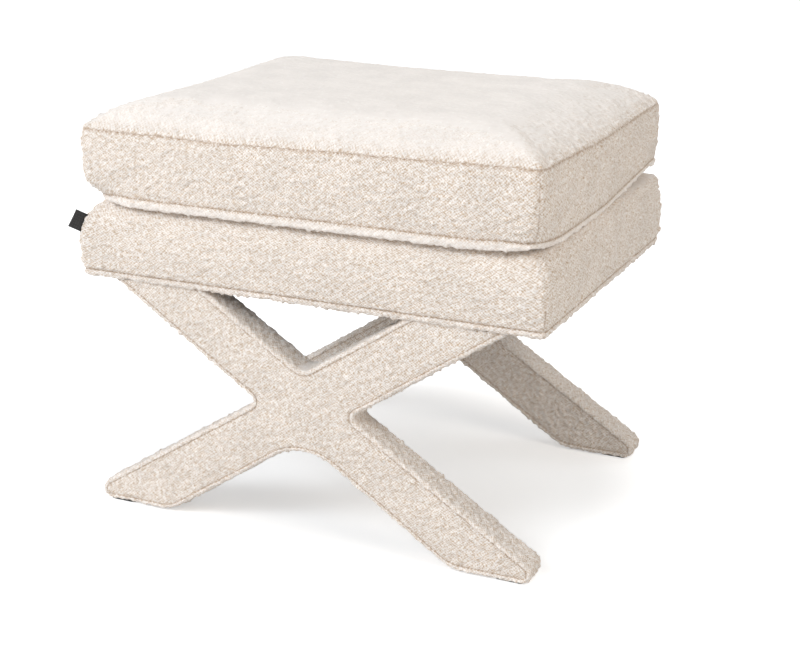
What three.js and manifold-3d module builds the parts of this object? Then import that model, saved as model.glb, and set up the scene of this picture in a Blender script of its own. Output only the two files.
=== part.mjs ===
// An upholstered stool on two X-shaped frames, in millimetres: X across the front, Y to the back, Z up.
// The origin lies on the floor under the middle of the seat.
import * as THREE from "three";
import { mergeVertices } from "three/addons/utils/BufferGeometryUtils.js";
import Module from "manifold-3d";

const wasm = await Module();
wasm.setup();

// Fits that every piece shares
const touch = 0.3; // gap between two pieces that lie against each other
const overrun = 6; // how far a cut runs past the face that it opens
const skin = 4; // woven cover with its wadding
const weld = 0.0001; // points nearer than this are one

// Facets of round forms
const planSteps = 5;
const glideSteps = 3;
const boltSides = 12;
const pinSides = 8;
const ventSides = 16;

// The deck is the lower upholstered box: its plan is taken at the hem
const deckBottom = 303.5;
const deckHalfX = 300;
const deckHalfY = 226;
const deckHeight = 95;
const deckTop = deckBottom + deckHeight;
const shoulderRise = 49.5; // height above the hem at which the sides are fullest
const deckShoulder = deckBottom + shoulderRise;
const deckSwell = 6.5; // how far the sides stand out there
const deckEdgeRun = 40; // how far in the rounded top edge reaches
const deckHemCorner = 6;
const deckShoulderCorner = 12;
const deckTopCorner = 22;
const hemStitch = 9.5; // height of the stitch line above the hem
const lipThickness = 2;
const stitchGroove = 1.4;
const stitchWidth = 1.6;

// Seat frame inside the deck
const railHeight = 45;
const railThickness = 28;
const boardThickness = 12;
const boardSetback = 6;
const ventRadius = 14;
const ventInX = 170; // place of a vent, in from the deck's hem
const ventInY = 131;
const blockLeg = 52;
const blockDrop = 7; // how far a block's top lies below the rails'
const blockHeight = railHeight - blockDrop;

// Boxed cushion that lies loose on the deck: its plan is taken at the top seam
const cushionIn = 8; // how far each end lies in from the deck's hem
const cushionOut = 2.5; // how far the front and back stand out from it
const cushionHalfX = deckHalfX - cushionIn;
const cushionHalfY = deckHalfY + cushionOut;
const cushionBottom = deckTop + touch;
const boxingHeight = 90.7; // from the underside to the top seam
const cushionSeam = cushionBottom + boxingHeight;
const crown = 35; // rise of the top above its seam
const crownPower = 12;
const cushionSwell = 7.5; // how far the sides stand out between the seams
const cushionCorner = 16;
const cushionSideCorner = 25;
const crownCorner = 45; // growth of the corner radius from the seam to the middle of the top
const weltHeight = 8; // height of the stitch line above the bottom face
const weltOut = 3.5; // how far the welt stands out from the plan of the top seam
const bottomIn = 10; // how far the bottom face lies in from it
const panelIn = 9; // how far the seam of the bottom panel lies in from it

// X frames, drawn in the XZ plane; every corner is where two straight edges would meet
const frameSetback = 2; // how far each frame's outer face lies in from the deck's hem
const frameOuterY = deckHalfY - frameSetback;
const woodThickness = 30;
const glideThickness = 2.5;
const footBottom = glideThickness + touch;
const toeIn = 6; // how far the toes lie in from the deck's hem
const toeX = deckHalfX - toeIn;
const footLength = 102.8;
const heelX = toeX - footLength;
const waistX = 61.2;
const waistZ = 173.4;
const armIn = 37.3; // how far an arm's outer edge lies in from the deck's hem, where they meet
const armOuterX = deckHalfX - armIn;
const armWidth = 128.9; // length of that joint along the hem
const armInnerX = armOuterX - armWidth;
const crotchZ = 216.8;
const archZ = 131.2;
const heelRadius = 22;
const toeLowRadius = 6.5;
const toeHighRadius = 13;
const toeSide = 9.2; // how far the upper rounding's radius ends above the floor
const toeHeight = toeSide + toeHighRadius;
const waistRadius = 7;
const crotchRadius = 18;
const archRadius = 72;
const armTop = deckBottom - touch;
const armExtra = 24; // length of arm that the cut at the deck takes off
const edgeRadius = 4.5; // rounding of the cover's long edges
const seamInset = 8; // distance of the face seam from the outline
const seamBevel = 1.4;
const footSeamIn = 28; // where the edge bands meet under a foot, in from the toe
const archBlockHalf = 34;

// Bolts that hold the arms to the rails
const boltRadius = 4;
const boltHeadRadius = 6.5;
const boltHeadHeight = 5.5;
const boltWell = 8; // depth of the counterbore in the rail
const boltWellRadius = 9;
const boltGrip = 25; // length of bolt in the arm
const boltIn = 54.7; // place of the outer bolt, in from the arm's outer edge
const boltSpacing = 50;
const boltMargin = 1; // from the deck cover's turned-in edge to the bolts' holes
const boltOuterX = armOuterX - boltIn;
const boltInnerX = boltOuterX - boltSpacing;

// Glides under the toes, each with two moulded pins
const glideHalfX = 18;
const glideHalfY = 16.5;
const glideIn = 27; // middle of the glide, in from the toe
const glideX = toeX - glideIn;
const glideCorner = 4;
const glideChamfer = 0.8;
const pinRadius = 2;
const pinLength = 13;
const pinSpacing = 21;

// Zip across the back of the cushion
const zipDrop = 46; // below the top seam
const zipZ = cushionSeam - zipDrop;
const zipIn = 24; // how far the zip's ends lie in from the cushion's
const zipHalfX = cushionHalfX - zipIn;
const tapeWidth = 17;
const tapeThickness = 1;
const chainWidth = 5.2;
const chainThickness = 3.2;
const sliderLength = 11;
const sliderWall = 0.8;
const sliderWidth = chainWidth + 2 * (touch + sliderWall);
const slotSpare = 0.4; // room on each side of the slider in the slot that it runs in
const zipSlot = sliderWidth + 2 * slotSpare;
const sliderPlate = 2.1;
const sliderReach = 2.6; // how far the slider's sides reach down beside the chain
const sliderIn = 12; // middle of the closed slider, in from the zip's end
const sliderX = zipHalfX - sliderIn;
const bridgeLength = 6.4;
const bridgeWidth = 2;
const bridgeBar = 1;
const bridgeSpace = 2;
const pullBar = 0.7; // radius of the cross bar that swings under the bridge
const pullLength = 22;
const pullWidth = 6.4;
const pullThickness = 1.2;
const pullEye = 4.6;
const pullEyeWidth = 2.8;

// Blank woven tag in the front left corner seam of the deck
const tagLength = 15;
const tagRoot = 10;
const tagHeight = 23;
const tagThickness = 1.2;
const tagRise = 61.5; // height of its middle above the hem, taken on into the deck's corner
const tagTurn = THREE.MathUtils.degToRad(53); // its direction, from -X towards -Y
const tagTilt = THREE.MathUtils.degToRad(30);

const materials = {
  boucle: new THREE.MeshStandardMaterial({ color: "#e6d8cb", roughness: 0.95 }),
  band: new THREE.MeshStandardMaterial({ color: "#dccdbf", roughness: 0.95 }),
  wood: new THREE.MeshStandardMaterial({ color: "#c9a878", roughness: 0.7 }),
  plywood: new THREE.MeshStandardMaterial({ color: "#cfb387", roughness: 0.75 }),
  foam: new THREE.MeshStandardMaterial({ color: "#ece4c4", roughness: 1 }),
  felt: new THREE.MeshStandardMaterial({ color: "#1b1b1c", roughness: 0.95 }),
  plastic: new THREE.MeshStandardMaterial({ color: "#18181a", roughness: 0.5 }),
  steel: new THREE.MeshStandardMaterial({ color: "#b9bcc0", roughness: 0.35, metalness: 1 }),
  zip: new THREE.MeshStandardMaterial({ color: "#d8cbb9", roughness: 0.8 }),
};

// A closed geometry as a solid that can be cut and joined.
function solid(geometry) {
  const bare = geometry.clone();
  bare.deleteAttribute("normal");
  bare.deleteAttribute("uv");
  const merged = mergeVertices(bare, weld);
  return new wasm.Manifold(
    new wasm.Mesh({
      numProp: 3,
      vertProperties: merged.attributes.position.array,
      triVerts: new Uint32Array(merged.index.array),
    }),
  );
}

// A closed body through rings of equal count, anticlockwise as seen from the first ring's side.
function loft(rings, flatten) {
  const count = rings[0].length;
  const last = (rings.length - 1) * count;
  const index = [];
  for (let r = 0; r < last; r += count)
    for (let i = 0; i < count; i++) {
      const a = r + i;
      const b = r + ((i + 1) % count);
      index.push(a, a + count, b, b, a + count, b + count);
    }
  for (const [a, b, c] of THREE.ShapeUtils.triangulateShape(rings[0].map(flatten), []))
    index.push(a, b, c);
  for (const [a, b, c] of THREE.ShapeUtils.triangulateShape(rings.at(-1).map(flatten), []))
    index.push(last + a, last + c, last + b);
  const points = rings.flat().flatMap((p) => p.toArray());
  const geometry = new THREE.BufferGeometry();
  geometry.setAttribute("position", new THREE.Float32BufferAttribute(points, 3));
  geometry.setIndex(index);
  return solid(geometry);
}

// A box between two opposite corners.
function block(low, high) {
  const size = high.map((v, i) => v - low[i]);
  const middle = high.map((v, i) => (v + low[i]) / 2);
  return solid(new THREE.BoxGeometry(...size).translate(...middle));
}

// A round body on an upright axis, from a profile of [radius, height] that runs from the foot to the top.
function turned(profile, segments) {
  const points = profile.map(([radius, height]) => new THREE.Vector2(radius, height));
  return solid(new THREE.LatheGeometry(points, segments).rotateX(Math.PI / 2));
}

const peg = (radius, low, high, segments) =>
  turned([[0, low], [radius, low], [radius, high], [0, high]], segments);

// An outline from corners in order, anticlockwise, moved inwards by inset, each corner rounded by its arc.
function outline(corners, inset) {
  const count = corners.length;
  const edges = corners.map((from, i) => {
    const to = corners[(i + 1) % count];
    const along = new THREE.Vector2(to.u - from.u, to.v - from.v).normalize();
    const inward = new THREE.Vector2(-along.y, along.x);
    return { along, inward, at: new THREE.Vector2(from.u, from.v).addScaledVector(inward, inset) };
  });
  return corners.flatMap((corner, i) => {
    const before = edges[(i + count - 1) % count];
    const after = edges[i];
    const turn = before.along.cross(after.along);
    const reach = after.at.clone().sub(before.at).cross(after.along) / turn;
    const apex = before.at.clone().addScaledVector(before.along, reach);
    if (!corner.radius) return [apex];
    const side = Math.sign(turn);
    const radius = corner.radius - side * inset;
    if (radius <= 0) return Array(corner.steps + 1).fill(apex);
    const angle = Math.acos(before.along.dot(after.along));
    const start = apex.clone().addScaledVector(before.along, -radius * Math.tan(angle / 2));
    const centre = start.clone().addScaledVector(before.inward, side * radius);
    return Array.from({ length: corner.steps + 1 }, (_, k) =>
      start.clone().rotateAround(centre, (side * angle * k) / corner.steps),
    );
  });
}

// Bodies drawn in the XZ plane, from rings of [outline, y] that run backwards.
const upright = (rings) =>
  loft(rings.map(([points, y]) => points.map((p) => new THREE.Vector3(p.x, y, p.y))),
    (p) => new THREE.Vector2(p.x, p.z));

// Bodies drawn in the XY plane, from rings of [outline, z] that run downwards.
const level = (rings) =>
  loft(rings.map(([points, z]) => points.map((p) => new THREE.Vector3(p.x, p.y, z))),
    (p) => new THREE.Vector2(p.x, p.y));

// A rounded rectangle about the middle.
function roundedPlan(halfX, halfY, radius, steps = planSteps) {
  const at = (u, v) => ({ u, v, radius, steps });
  return outline([at(-halfX, -halfY), at(halfX, -halfY), at(halfX, halfY), at(-halfX, halfY)], 0);
}

// The mitred quarter of a plan that faces one side, for cutting a boxing strip between its corner seams.
function mitre(halfX, halfY, side) {
  const spread = cushionSwell + weltOut + overrun;
  const [x, y] = [halfX + spread, halfY + spread];
  const ridge = halfX - halfY;
  const at = (u, v) => ({ u, v });
  const quarters = {
    front: [at(-ridge, 0), at(-x, -y), at(x, -y), at(ridge, 0)],
    right: [at(ridge, 0), at(x, -y), at(x, y)],
    rear: [at(ridge, 0), at(x, y), at(-x, y), at(-ridge, 0)],
    left: [at(-ridge, 0), at(-x, y), at(-x, -y)],
  };
  return outline(quarters[side], touch / 2);
}

const quarterTurn = Math.PI / 2;
const lerp = THREE.MathUtils.lerp;

// The deck's full body, moved inwards by inset. Inside the cover its sides follow the straight rails.
function deckBody(inset) {
  const edgeShares = [1, 0.78, 0.56, 0.34, 0.17, 0];
  const sideShares = [0.8, 0.45];
  const ring = (out, corner, z) => {
    const held = inset > 0 && out > -inset;
    const radius = held ? deckHemCorner - inset : corner - inset;
    const step = held ? -inset : out;
    return [roundedPlan(deckHalfX + step, deckHalfY + step, radius), z];
  };
  const edge = edgeShares.map((share) => {
    const angle = share * quarterTurn;
    const run = 1 - Math.cos(angle);
    const out = deckSwell - inset - (deckEdgeRun - inset) * run;
    const corner = lerp(deckShoulderCorner, deckTopCorner, run);
    return ring(out, corner, deckShoulder + (deckTop - deckShoulder - inset) * Math.sin(angle));
  });
  const side = (share, groove, drop) => {
    const z = lerp(deckBottom, deckShoulder, share) + drop;
    const out = deckSwell * Math.sin(share * quarterTurn) - inset - (inset > 0 ? 0 : groove);
    return ring(out, lerp(deckHemCorner, deckShoulderCorner, share), z);
  };
  const stitchShare = hemStitch / (deckShoulder - deckBottom);
  return level([
    ...edge,
    ...sideShares.map((share) => side(share, 0, 0)),
    side(stitchShare, 0, stitchWidth),
    side(stitchShare, stitchGroove, 0),
    side(stitchShare, 0, -stitchWidth),
    side(0, 0, 0),
  ]);
}

// The cushion's full body, moved inwards by inset.
function cushionBody(inset) {
  const crownShares = [0.22, 0.5, 0.68, 0.81, 0.9, 0.955, 0.985];
  const sideShares = [0, 0.05, 0.2, 0.4, 0.6, 0.8, 0.95];
  const roundShare = 0.9; // largest corner radius, of the plan's half depth
  const turnShare = 1 / 3; // where the welt turns in under the cushion, of its height and depth
  const stitch = cushionBottom + weltHeight;
  const plan = (share, out, corner) => {
    const halfX = (cushionHalfX - inset) * share + out;
    const halfY = (cushionHalfY - inset) * share + out;
    return roundedPlan(halfX, halfY, Math.min(corner - inset, halfY * roundShare));
  };
  const top = crownShares.map((share) => [
    plan(share, 0, cushionCorner + crownCorner * (1 - share)),
    cushionSeam - inset + crown * (1 - share ** crownPower),
  ]);
  const side = sideShares.map((share) => {
    const full = Math.sin(share * Math.PI);
    return [
      plan(1, cushionSwell * full + weltOut * share, lerp(cushionCorner, cushionSideCorner, full)),
      lerp(cushionSeam - inset, stitch + stitchWidth, share),
    ];
  });
  const groove = inset > 0 ? 0 : stitchGroove;
  return level([
    ...top,
    ...side,
    [plan(1, weltOut - groove, cushionCorner), stitch],
    [plan(1, weltOut, cushionCorner), stitch - stitchWidth],
    [plan(1, weltOut - bottomIn * turnShare, cushionCorner), lerp(cushionBottom + inset, stitch, turnShare)],
    [plan(1, -bottomIn, cushionCorner), cushionBottom + inset],
  ]);
}

// The X of a frame, anticlockwise from the front, starting under the left foot.
const alongLine = (a, b, v) => ({ u: a.u + ((b.u - a.u) * (v - a.v)) / (b.v - a.v), v });
const archCorner = { u: 0, v: archZ, radius: archRadius, steps: 10 };
const crotchCorner = { u: 0, v: crotchZ, radius: crotchRadius, steps: 4 };
const waist = { u: waistX, v: waistZ, radius: waistRadius, steps: 3 };
const armOuter = alongLine(waist, { u: armOuterX, v: armTop }, armTop + armExtra);
const armInner = alongLine(crotchCorner, { u: armInnerX, v: armTop }, armTop + armExtra);
const heel = { u: heelX, v: footBottom, radius: heelRadius, steps: 4 };
const toeLow = { u: toeX, v: footBottom, radius: toeLowRadius, steps: 2 };
const toeHigh = { u: toeX, v: toeHeight, radius: toeHighRadius, steps: 3 };
const mirrored = (corner) => ({ ...corner, u: -corner.u });
const sharp = (corner) => ({ u: corner.u, v: corner.v });
const xCorners = [
  mirrored(toeLow), mirrored(heel), archCorner, heel, toeLow, toeHigh, waist, armOuter, armInner,
  crotchCorner, mirrored(armInner), mirrored(armOuter), mirrored(waist), mirrored(toeHigh),
];
const risingCorners = [
  mirrored(toeLow), mirrored(heel), sharp(archCorner), sharp(waist), armOuter, armInner,
  sharp(crotchCorner), sharp(mirrored(waist)), mirrored(toeHigh),
];
const fallingCorners = risingCorners.map(mirrored).reverse();

// The wedge of the X around one notch, from the crossing to two far points.
function notchZone(notch) {
  const at = (u, v) => ({ u, v });
  const cross = at(0, waistZ);
  const armMiddle = (armOuterX + armInnerX) / 2;
  const high = armTop + armExtra;
  const armEnd = alongLine(cross, at(armMiddle, armTop), high);
  const foot = alongLine(cross, at(toeX - footSeamIn, 0), -overrun);
  const far = deckHalfX + armExtra;
  const zones = {
    upper: [cross, armEnd, mirrored(armEnd)],
    arch: [cross, mirrored(foot), foot],
    right: [cross, foot, at(far, -overrun), at(far, high), armEnd],
  };
  zones.left = zones.right.map(mirrored).reverse();
  return outline(zones[notch], touch / 2);
}

const group = new THREE.Group();

// Adds a solid to the group as a named mesh.
function add(name, body, material) {
  const { vertProperties, triVerts } = body.getMesh();
  const geometry = new THREE.BufferGeometry();
  geometry.setAttribute("position", new THREE.BufferAttribute(vertProperties, 3));
  geometry.setIndex(new THREE.BufferAttribute(triVerts, 1));
  geometry.computeVertexNormals();
  const mesh = new THREE.Mesh(geometry, material);
  mesh.name = name;
  group.add(mesh);
}

const railBottom = deckBottom + lipThickness + touch;
const railTop = railBottom + railHeight;
const railHalfX = deckHalfX - skin - touch;
const railHalfY = deckHalfY - skin - touch;
const frameHalf = woodThickness / 2 + touch + skin;
const frameY = frameOuterY - frameHalf;
const hemLip = deckHalfY - frameY - boltRadius - touch - boltMargin; // the cover's edge under the rails
const boltSeat = railTop - boltWell;
const boltTip = armTop - boltGrip;
const boltPlaces = [-boltOuterX, -boltInnerX, boltInnerX, boltOuterX].flatMap((x) =>
  [-frameY, frameY].map((y) => ({ x, y })),
);

// Cuts every bolt's hole, with its counterbore in the rail.
function boltHoles() {
  const hole = turned(
    [
      [0, boltTip - touch],
      [boltRadius + touch, boltTip - touch],
      [boltRadius + touch, boltSeat],
      [boltWellRadius, boltSeat],
      [boltWellRadius, railTop + overrun],
      [0, railTop + overrun],
    ],
    boltSides,
  );
  return wasm.Manifold.union(boltPlaces.map(({ x, y }) => hole.translate([x, y, 0])));
}

// Two pins' holes under one toe of a frame that stands at y = 0.
function pinHoles(side) {
  const bore = peg(pinRadius + touch, -overrun, glideThickness + pinLength + touch, pinSides);
  const places = [-pinSpacing / 2, pinSpacing / 2].map((step) => side * glideX + step);
  return wasm.Manifold.union(places.map((x) => bore.translate([x, 0, 0])));
}

// One X frame: two diagonals in a cross lap, a block in the arch, and the sewn cover.
function addFrame(name, y, holes) {
  const woodHalf = woodThickness / 2;
  const inset = skin + touch;
  const place = (body) => body.translate([0, y, 0]).subtract(holes);
  const pins = pinHoles(-1).add(pinHoles(1));
  const reach = deckHalfX + armExtra;
  const below = block([-reach, -frameHalf - overrun, 0], [reach, frameHalf + overrun, armTop]);
  const plate = (corners, inwards, near, far) =>
    upright([[outline(corners, inwards), near], [outline(corners, inwards), far]]);
  const half = (corners, near, far) => plate(corners, inset - touch, near, far);

  const rising = plate(risingCorners, inset, -woodHalf, woodHalf)
    .subtract(half(fallingCorners, -woodHalf - overrun, touch / 2));
  const falling = plate(fallingCorners, inset, -woodHalf, woodHalf)
    .subtract(half(risingCorners, -touch / 2, woodHalf + overrun));
  const archBox = block(
    [-archBlockHalf, -woodHalf, archZ - archRadius],
    [archBlockHalf, woodHalf, archZ],
  );
  const archBlock = plate(xCorners, inset, -woodHalf, woodHalf)
    .intersect(archBox)
    .subtract(half(risingCorners, -woodHalf - overrun, woodHalf + overrun))
    .subtract(half(fallingCorners, -woodHalf - overrun, woodHalf + overrun));
  add(`${name}_leg_rising`, place(rising.intersect(below).subtract(pins)), materials.wood);
  add(`${name}_leg_falling`, place(falling.intersect(below).subtract(pins)), materials.wood);
  add(`${name}_arch_block`, place(archBlock), materials.wood);

  const edgeAngles = [1, 0.67, 0.33, 0].map((share) => share * quarterTurn);
  const rounding = edgeAngles.map((angle) => [
    outline(xCorners, edgeRadius * (1 - Math.cos(angle))),
    frameHalf - edgeRadius * (1 - Math.sin(angle)),
  ]);
  const envelope = upright([
    ...rounding.map(([points, out]) => [points, -out]),
    ...rounding.toReversed(),
  ]);
  const ring = envelope
    .subtract(plate(xCorners, skin, -woodHalf - touch, woodHalf + touch))
    .subtract(plate(xCorners, seamInset, -frameHalf - overrun, frameHalf + overrun))
    .intersect(below)
    .subtract(pins);
  for (const notch of ["left", "right", "upper", "arch"]) {
    const zone = notchZone(notch);
    const cut = upright([[zone, -frameHalf - overrun], [zone, frameHalf + overrun]]);
    add(`${name}_${notch}_band`, place(ring.intersect(cut)), materials.band);
  }
  const face = (front) => {
    const rings = [
      [outline(xCorners, seamInset + touch + seamBevel), -frameHalf],
      [outline(xCorners, seamInset + touch), -frameHalf + seamBevel],
      [outline(xCorners, seamInset + touch), -woodHalf - touch],
    ];
    const backwards = rings.map(([points, depth]) => [points, -depth]).reverse();
    return upright(front ? rings : backwards).intersect(below);
  };
  const outerIsFront = y < 0;
  add(`${name}_outer_face`, place(face(outerIsFront)), materials.boucle);
  add(`${name}_inner_face`, place(face(!outerIsFront)), materials.boucle);
}

function addGlides() {
  const ring = (less, z) =>
    [roundedPlan(glideHalfX - less, glideHalfY - less, glideCorner, glideSteps), z];
  const pad = level([ring(0, glideThickness), ring(0, glideChamfer), ring(glideChamfer, 0)]);
  const pin = peg(pinRadius, glideChamfer, glideThickness + pinLength, pinSides);
  const pins = [-pinSpacing / 2, pinSpacing / 2].map((x) => pin.translate([x, 0, 0]));
  const glide = wasm.Manifold.union([pad, ...pins]);
  for (const [row, y] of [["front", -frameY], ["rear", frameY]])
    for (const [end, x] of [["left", -glideX], ["right", glideX]])
      add(`${row}_${end}_glide`, glide.translate([x, y, 0]), materials.plastic);
}

function addSeatFrame(holes) {
  const column = (step, high, low) => {
    const plan = roundedPlan(railHalfX - step, railHalfY - step, deckHemCorner - skin - touch);
    return level([[plan, high], [plan, low]]);
  };
  const outside = column(0, railTop, railBottom);
  const innerX = railHalfX - railThickness;
  const innerY = railHalfY - railThickness;
  const frontRail = block([-railHalfX, -railHalfY, railBottom], [railHalfX, -innerY, railTop])
    .intersect(outside);
  const rightRail = block([innerX, -innerY + touch, railBottom], [railHalfX, innerY - touch, railTop]);
  add("front_rail", frontRail.subtract(holes), materials.wood);
  add("rear_rail", frontRail.mirror([0, 1, 0]).subtract(holes), materials.wood);
  add("right_rail", rightRail, materials.wood);
  add("left_rail", rightRail.mirror([1, 0, 0]), materials.wood);

  const at = (u, v) => ({ u, v });
  const [x, y] = [innerX - touch, innerY - touch];
  const plan = outline([at(x, y), at(x - blockLeg, y), at(x, y - blockLeg)], 0);
  const cornerBlock = level([[plan, railBottom + blockHeight], [plan, railBottom]]);
  add("rear_right_block", cornerBlock, materials.wood);
  add("rear_left_block", cornerBlock.mirror([1, 0, 0]), materials.wood);
  add("front_right_block", cornerBlock.mirror([0, 1, 0]), materials.wood);
  add("front_left_block", cornerBlock.mirror([1, 0, 0]).mirror([0, 1, 0]), materials.wood);

  const boardBottom = railTop + touch;
  const boardTop = boardBottom + boardThickness;
  const vent = peg(ventRadius, boardBottom - overrun, boardTop + overrun, ventSides);
  const [ventX, ventY] = [deckHalfX - ventInX, deckHalfY - ventInY];
  const vents = [-ventX, ventX].flatMap((u) => [-ventY, ventY].map((v) => vent.translate([u, v, 0])));
  const board = column(boardSetback, boardTop, boardBottom).subtract(wasm.Manifold.union(vents));
  add("seat_board", board, materials.plywood);

  const above = block([-deckHalfX, -deckHalfY, boardTop + touch], [deckHalfX, deckHalfY, deckTop]);
  add("deck_foam", deckBody(skin + touch).intersect(above), materials.foam);
}

function addDeckCover(holes) {
  const plan = (step) => roundedPlan(deckHalfX - step, deckHalfY - step, deckHemCorner);
  const lipTop = deckBottom + lipThickness;
  const aboveLip = block([-deckHalfX, -deckHalfY, lipTop], [deckHalfX, deckHalfY, deckTop]);
  const mouth = level([[plan(hemLip), lipTop + overrun], [plan(hemLip), deckBottom - overrun]]);
  const cover = deckBody(0).subtract(deckBody(skin).intersect(aboveLip)).subtract(mouth);
  add("deck_cover", cover, materials.boucle);
  const sheet = level([[plan(hemLip + touch), lipTop], [plan(hemLip + touch), deckBottom]]);
  add("dust_cover", sheet.subtract(holes), materials.felt);
}

function addBolts() {
  const bolt = turned(
    [
      [0, boltTip],
      [boltRadius, boltTip],
      [boltRadius, boltSeat + touch],
      [boltHeadRadius, boltSeat + touch],
      [boltHeadRadius, boltSeat + touch + boltHeadHeight],
      [0, boltSeat + touch + boltHeadHeight],
    ],
    boltSides,
  );
  for (const { x, y } of boltPlaces) {
    const row = y < 0 ? "front" : "rear";
    const end = x < 0 ? "left" : "right";
    const side = Math.abs(x) > boltInnerX ? "outer" : "inner";
    add(`${row}_${end}_${side}_bolt`, bolt.translate([x, y, 0]), materials.steel);
  }
}

// The tag stands in the corner seam and follows the deck's rounded corner where it is sewn in.
function addTag() {
  const [u, v] = [deckHalfX - deckHemCorner, deckHalfY - deckHemCorner];
  const blank = block(
    [0, -tagThickness / 2, -tagHeight / 2],
    [tagRoot + tagLength, tagThickness / 2, tagHeight / 2],
  );
  const degrees = THREE.MathUtils.radToDeg;
  const tag = blank
    .rotate([0, -degrees(tagTilt), 0])
    .rotate([0, 0, degrees(Math.PI + tagTurn)])
    .translate([-u, -v, deckBottom + tagRise]);
  add("side_tag", tag.subtract(deckBody(-touch)), materials.felt);
}

function addCushion() {
  const inner = cushionBody(skin);
  const shell = cushionBody(0).subtract(inner);
  const far = cushionHalfX + cushionSwell + weltOut + overrun;
  const between = (low, high) => block([-far, -far, low], [far, far, high]);
  const above = cushionSeam + crown + overrun;
  const below = cushionBottom - overrun;
  const panel = (less) =>
    roundedPlan(cushionHalfX - panelIn - less, cushionHalfY - panelIn - less, cushionCorner - panelIn);
  const column = (less) =>
    level([[panel(less), cushionBottom + weltHeight], [panel(less), below]]);

  const zipY = cushionHalfY + cushionSwell + weltOut / 2 - skin - touch;
  const tape = (spare) =>
    block(
      [-zipHalfX - spare, zipY - tapeThickness - spare, zipZ - tapeWidth / 2 - spare],
      [zipHalfX + spare, zipY + spare, zipZ + tapeWidth / 2 + spare],
    );
  const recess = block(
    [-zipHalfX - touch, zipY - tapeThickness - touch, zipZ - tapeWidth / 2 - touch],
    [zipHalfX + touch, far, zipZ + tapeWidth / 2 + touch],
  );
  add("cushion_core", cushionBody(skin + touch).subtract(recess), materials.foam);
  add("cushion_top_panel", shell.intersect(between(cushionSeam + touch / 2, above)), materials.boucle);
  add("cushion_bottom_panel", shell.intersect(column(touch)), materials.boucle);

  const boxing = shell
    .intersect(between(below, cushionSeam - touch / 2))
    .subtract(column(0))
    .subtract(tape(touch));
  for (const side of ["front", "left", "right", "rear"]) {
    const plan = mitre(cushionHalfX, cushionHalfY, side);
    const strip = boxing.intersect(level([[plan, above], [plan, below]]));
    if (side === "rear") {
      const [upper, lower] = [between(zipZ + zipSlot / 2, above), between(below, zipZ - zipSlot / 2)];
      add("rear_boxing_upper", strip.intersect(upper), materials.boucle);
      add("rear_boxing_lower", strip.intersect(lower), materials.boucle);
    } else add(`${side}_boxing`, strip, materials.boucle);
  }
  add("zip_tape", tape(0), materials.zip);
  const chainLow = zipY + touch;
  const chain = block(
    [-zipHalfX, chainLow, zipZ - chainWidth / 2],
    [zipHalfX, chainLow + chainThickness, zipZ + chainWidth / 2],
  );
  add("zip_chain", chain, materials.zip);
  addSlider(chainLow + chainThickness);
}

// The zip's slider straddles the chain, and its pull swings on a bar under the bridge.
function addSlider(chainTop) {
  const box = (x, y, z) => block([x[0], y[0], z[0]], [x[1], y[1], z[1]]);
  const about = (middle, width) => [middle - width / 2, middle + width / 2];
  const under = chainTop + touch;
  const plateTop = under + sliderPlate;
  const body = box(
    about(sliderX, sliderLength), [under - sliderReach, plateTop], about(zipZ, sliderWidth));
  const channel = box(
    about(sliderX, sliderLength + overrun), [under - sliderReach - overrun, under],
    about(zipZ, chainWidth + touch + touch));
  const arch = box(
    about(sliderX, bridgeLength), [plateTop - bridgeBar, plateTop + bridgeSpace + bridgeBar],
    about(zipZ, bridgeWidth));
  const space = box(
    about(sliderX, bridgeLength - bridgeBar - bridgeBar), [plateTop, plateTop + bridgeSpace],
    about(zipZ, bridgeWidth + overrun));
  add("zip_slider", body.subtract(channel).add(arch.subtract(space)), materials.steel);

  const pivotY = plateTop + bridgeSpace / 2;
  const plate = box(
    [sliderX - pullLength, sliderX], about(pivotY, pullThickness), about(zipZ, pullWidth));
  const eye = box(
    [sliderX - pullEye, sliderX + overrun], about(pivotY, pullThickness + overrun),
    about(zipZ, pullEyeWidth));
  const bar = peg(pullBar, zipZ - pullWidth / 2, zipZ + pullWidth / 2, pinSides)
    .translate([sliderX, pivotY, 0]);
  add("zip_pull", plate.subtract(eye).add(bar), materials.steel);
}

const holes = boltHoles();
addFrame("front", -frameY, holes);
addFrame("rear", frameY, holes);
addGlides();
addSeatFrame(holes);
addDeckCover(holes);
addBolts();
addTag();
addCushion();

export default group;
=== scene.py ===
"""Dresses the packed stool: its covers with their seams, the zip, the fillings and every finish."""

import itertools
import math

import bpy
import numpy as np
from mathutils import Matrix, Vector
from mathutils.geometry import delaunay_2d_cdt


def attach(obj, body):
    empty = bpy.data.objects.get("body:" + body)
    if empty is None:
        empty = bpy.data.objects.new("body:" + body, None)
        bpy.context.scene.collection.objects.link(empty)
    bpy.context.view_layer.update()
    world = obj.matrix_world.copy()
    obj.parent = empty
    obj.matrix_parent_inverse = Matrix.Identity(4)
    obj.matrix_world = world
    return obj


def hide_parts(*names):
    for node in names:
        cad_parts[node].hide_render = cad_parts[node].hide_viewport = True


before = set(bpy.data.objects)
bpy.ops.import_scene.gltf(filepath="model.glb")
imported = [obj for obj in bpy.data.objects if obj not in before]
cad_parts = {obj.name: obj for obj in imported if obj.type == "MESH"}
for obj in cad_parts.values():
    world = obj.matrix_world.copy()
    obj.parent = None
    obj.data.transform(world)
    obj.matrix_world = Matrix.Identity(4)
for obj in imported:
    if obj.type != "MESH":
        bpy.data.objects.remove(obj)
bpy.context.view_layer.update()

bl_info = {
    "name": "Vanity stool",
    "version": (1, 0, 0),
    "blender": (4, 5, 0),
    "location": "View3D > Sidebar > Stool",
    "description": "Upholstered stool on two X frames",
    "category": "Object",
}

MM = 0.001
# How far a step at 45 degrees goes along X, as a share of its length.
DIAGONAL = 0.7071

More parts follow.
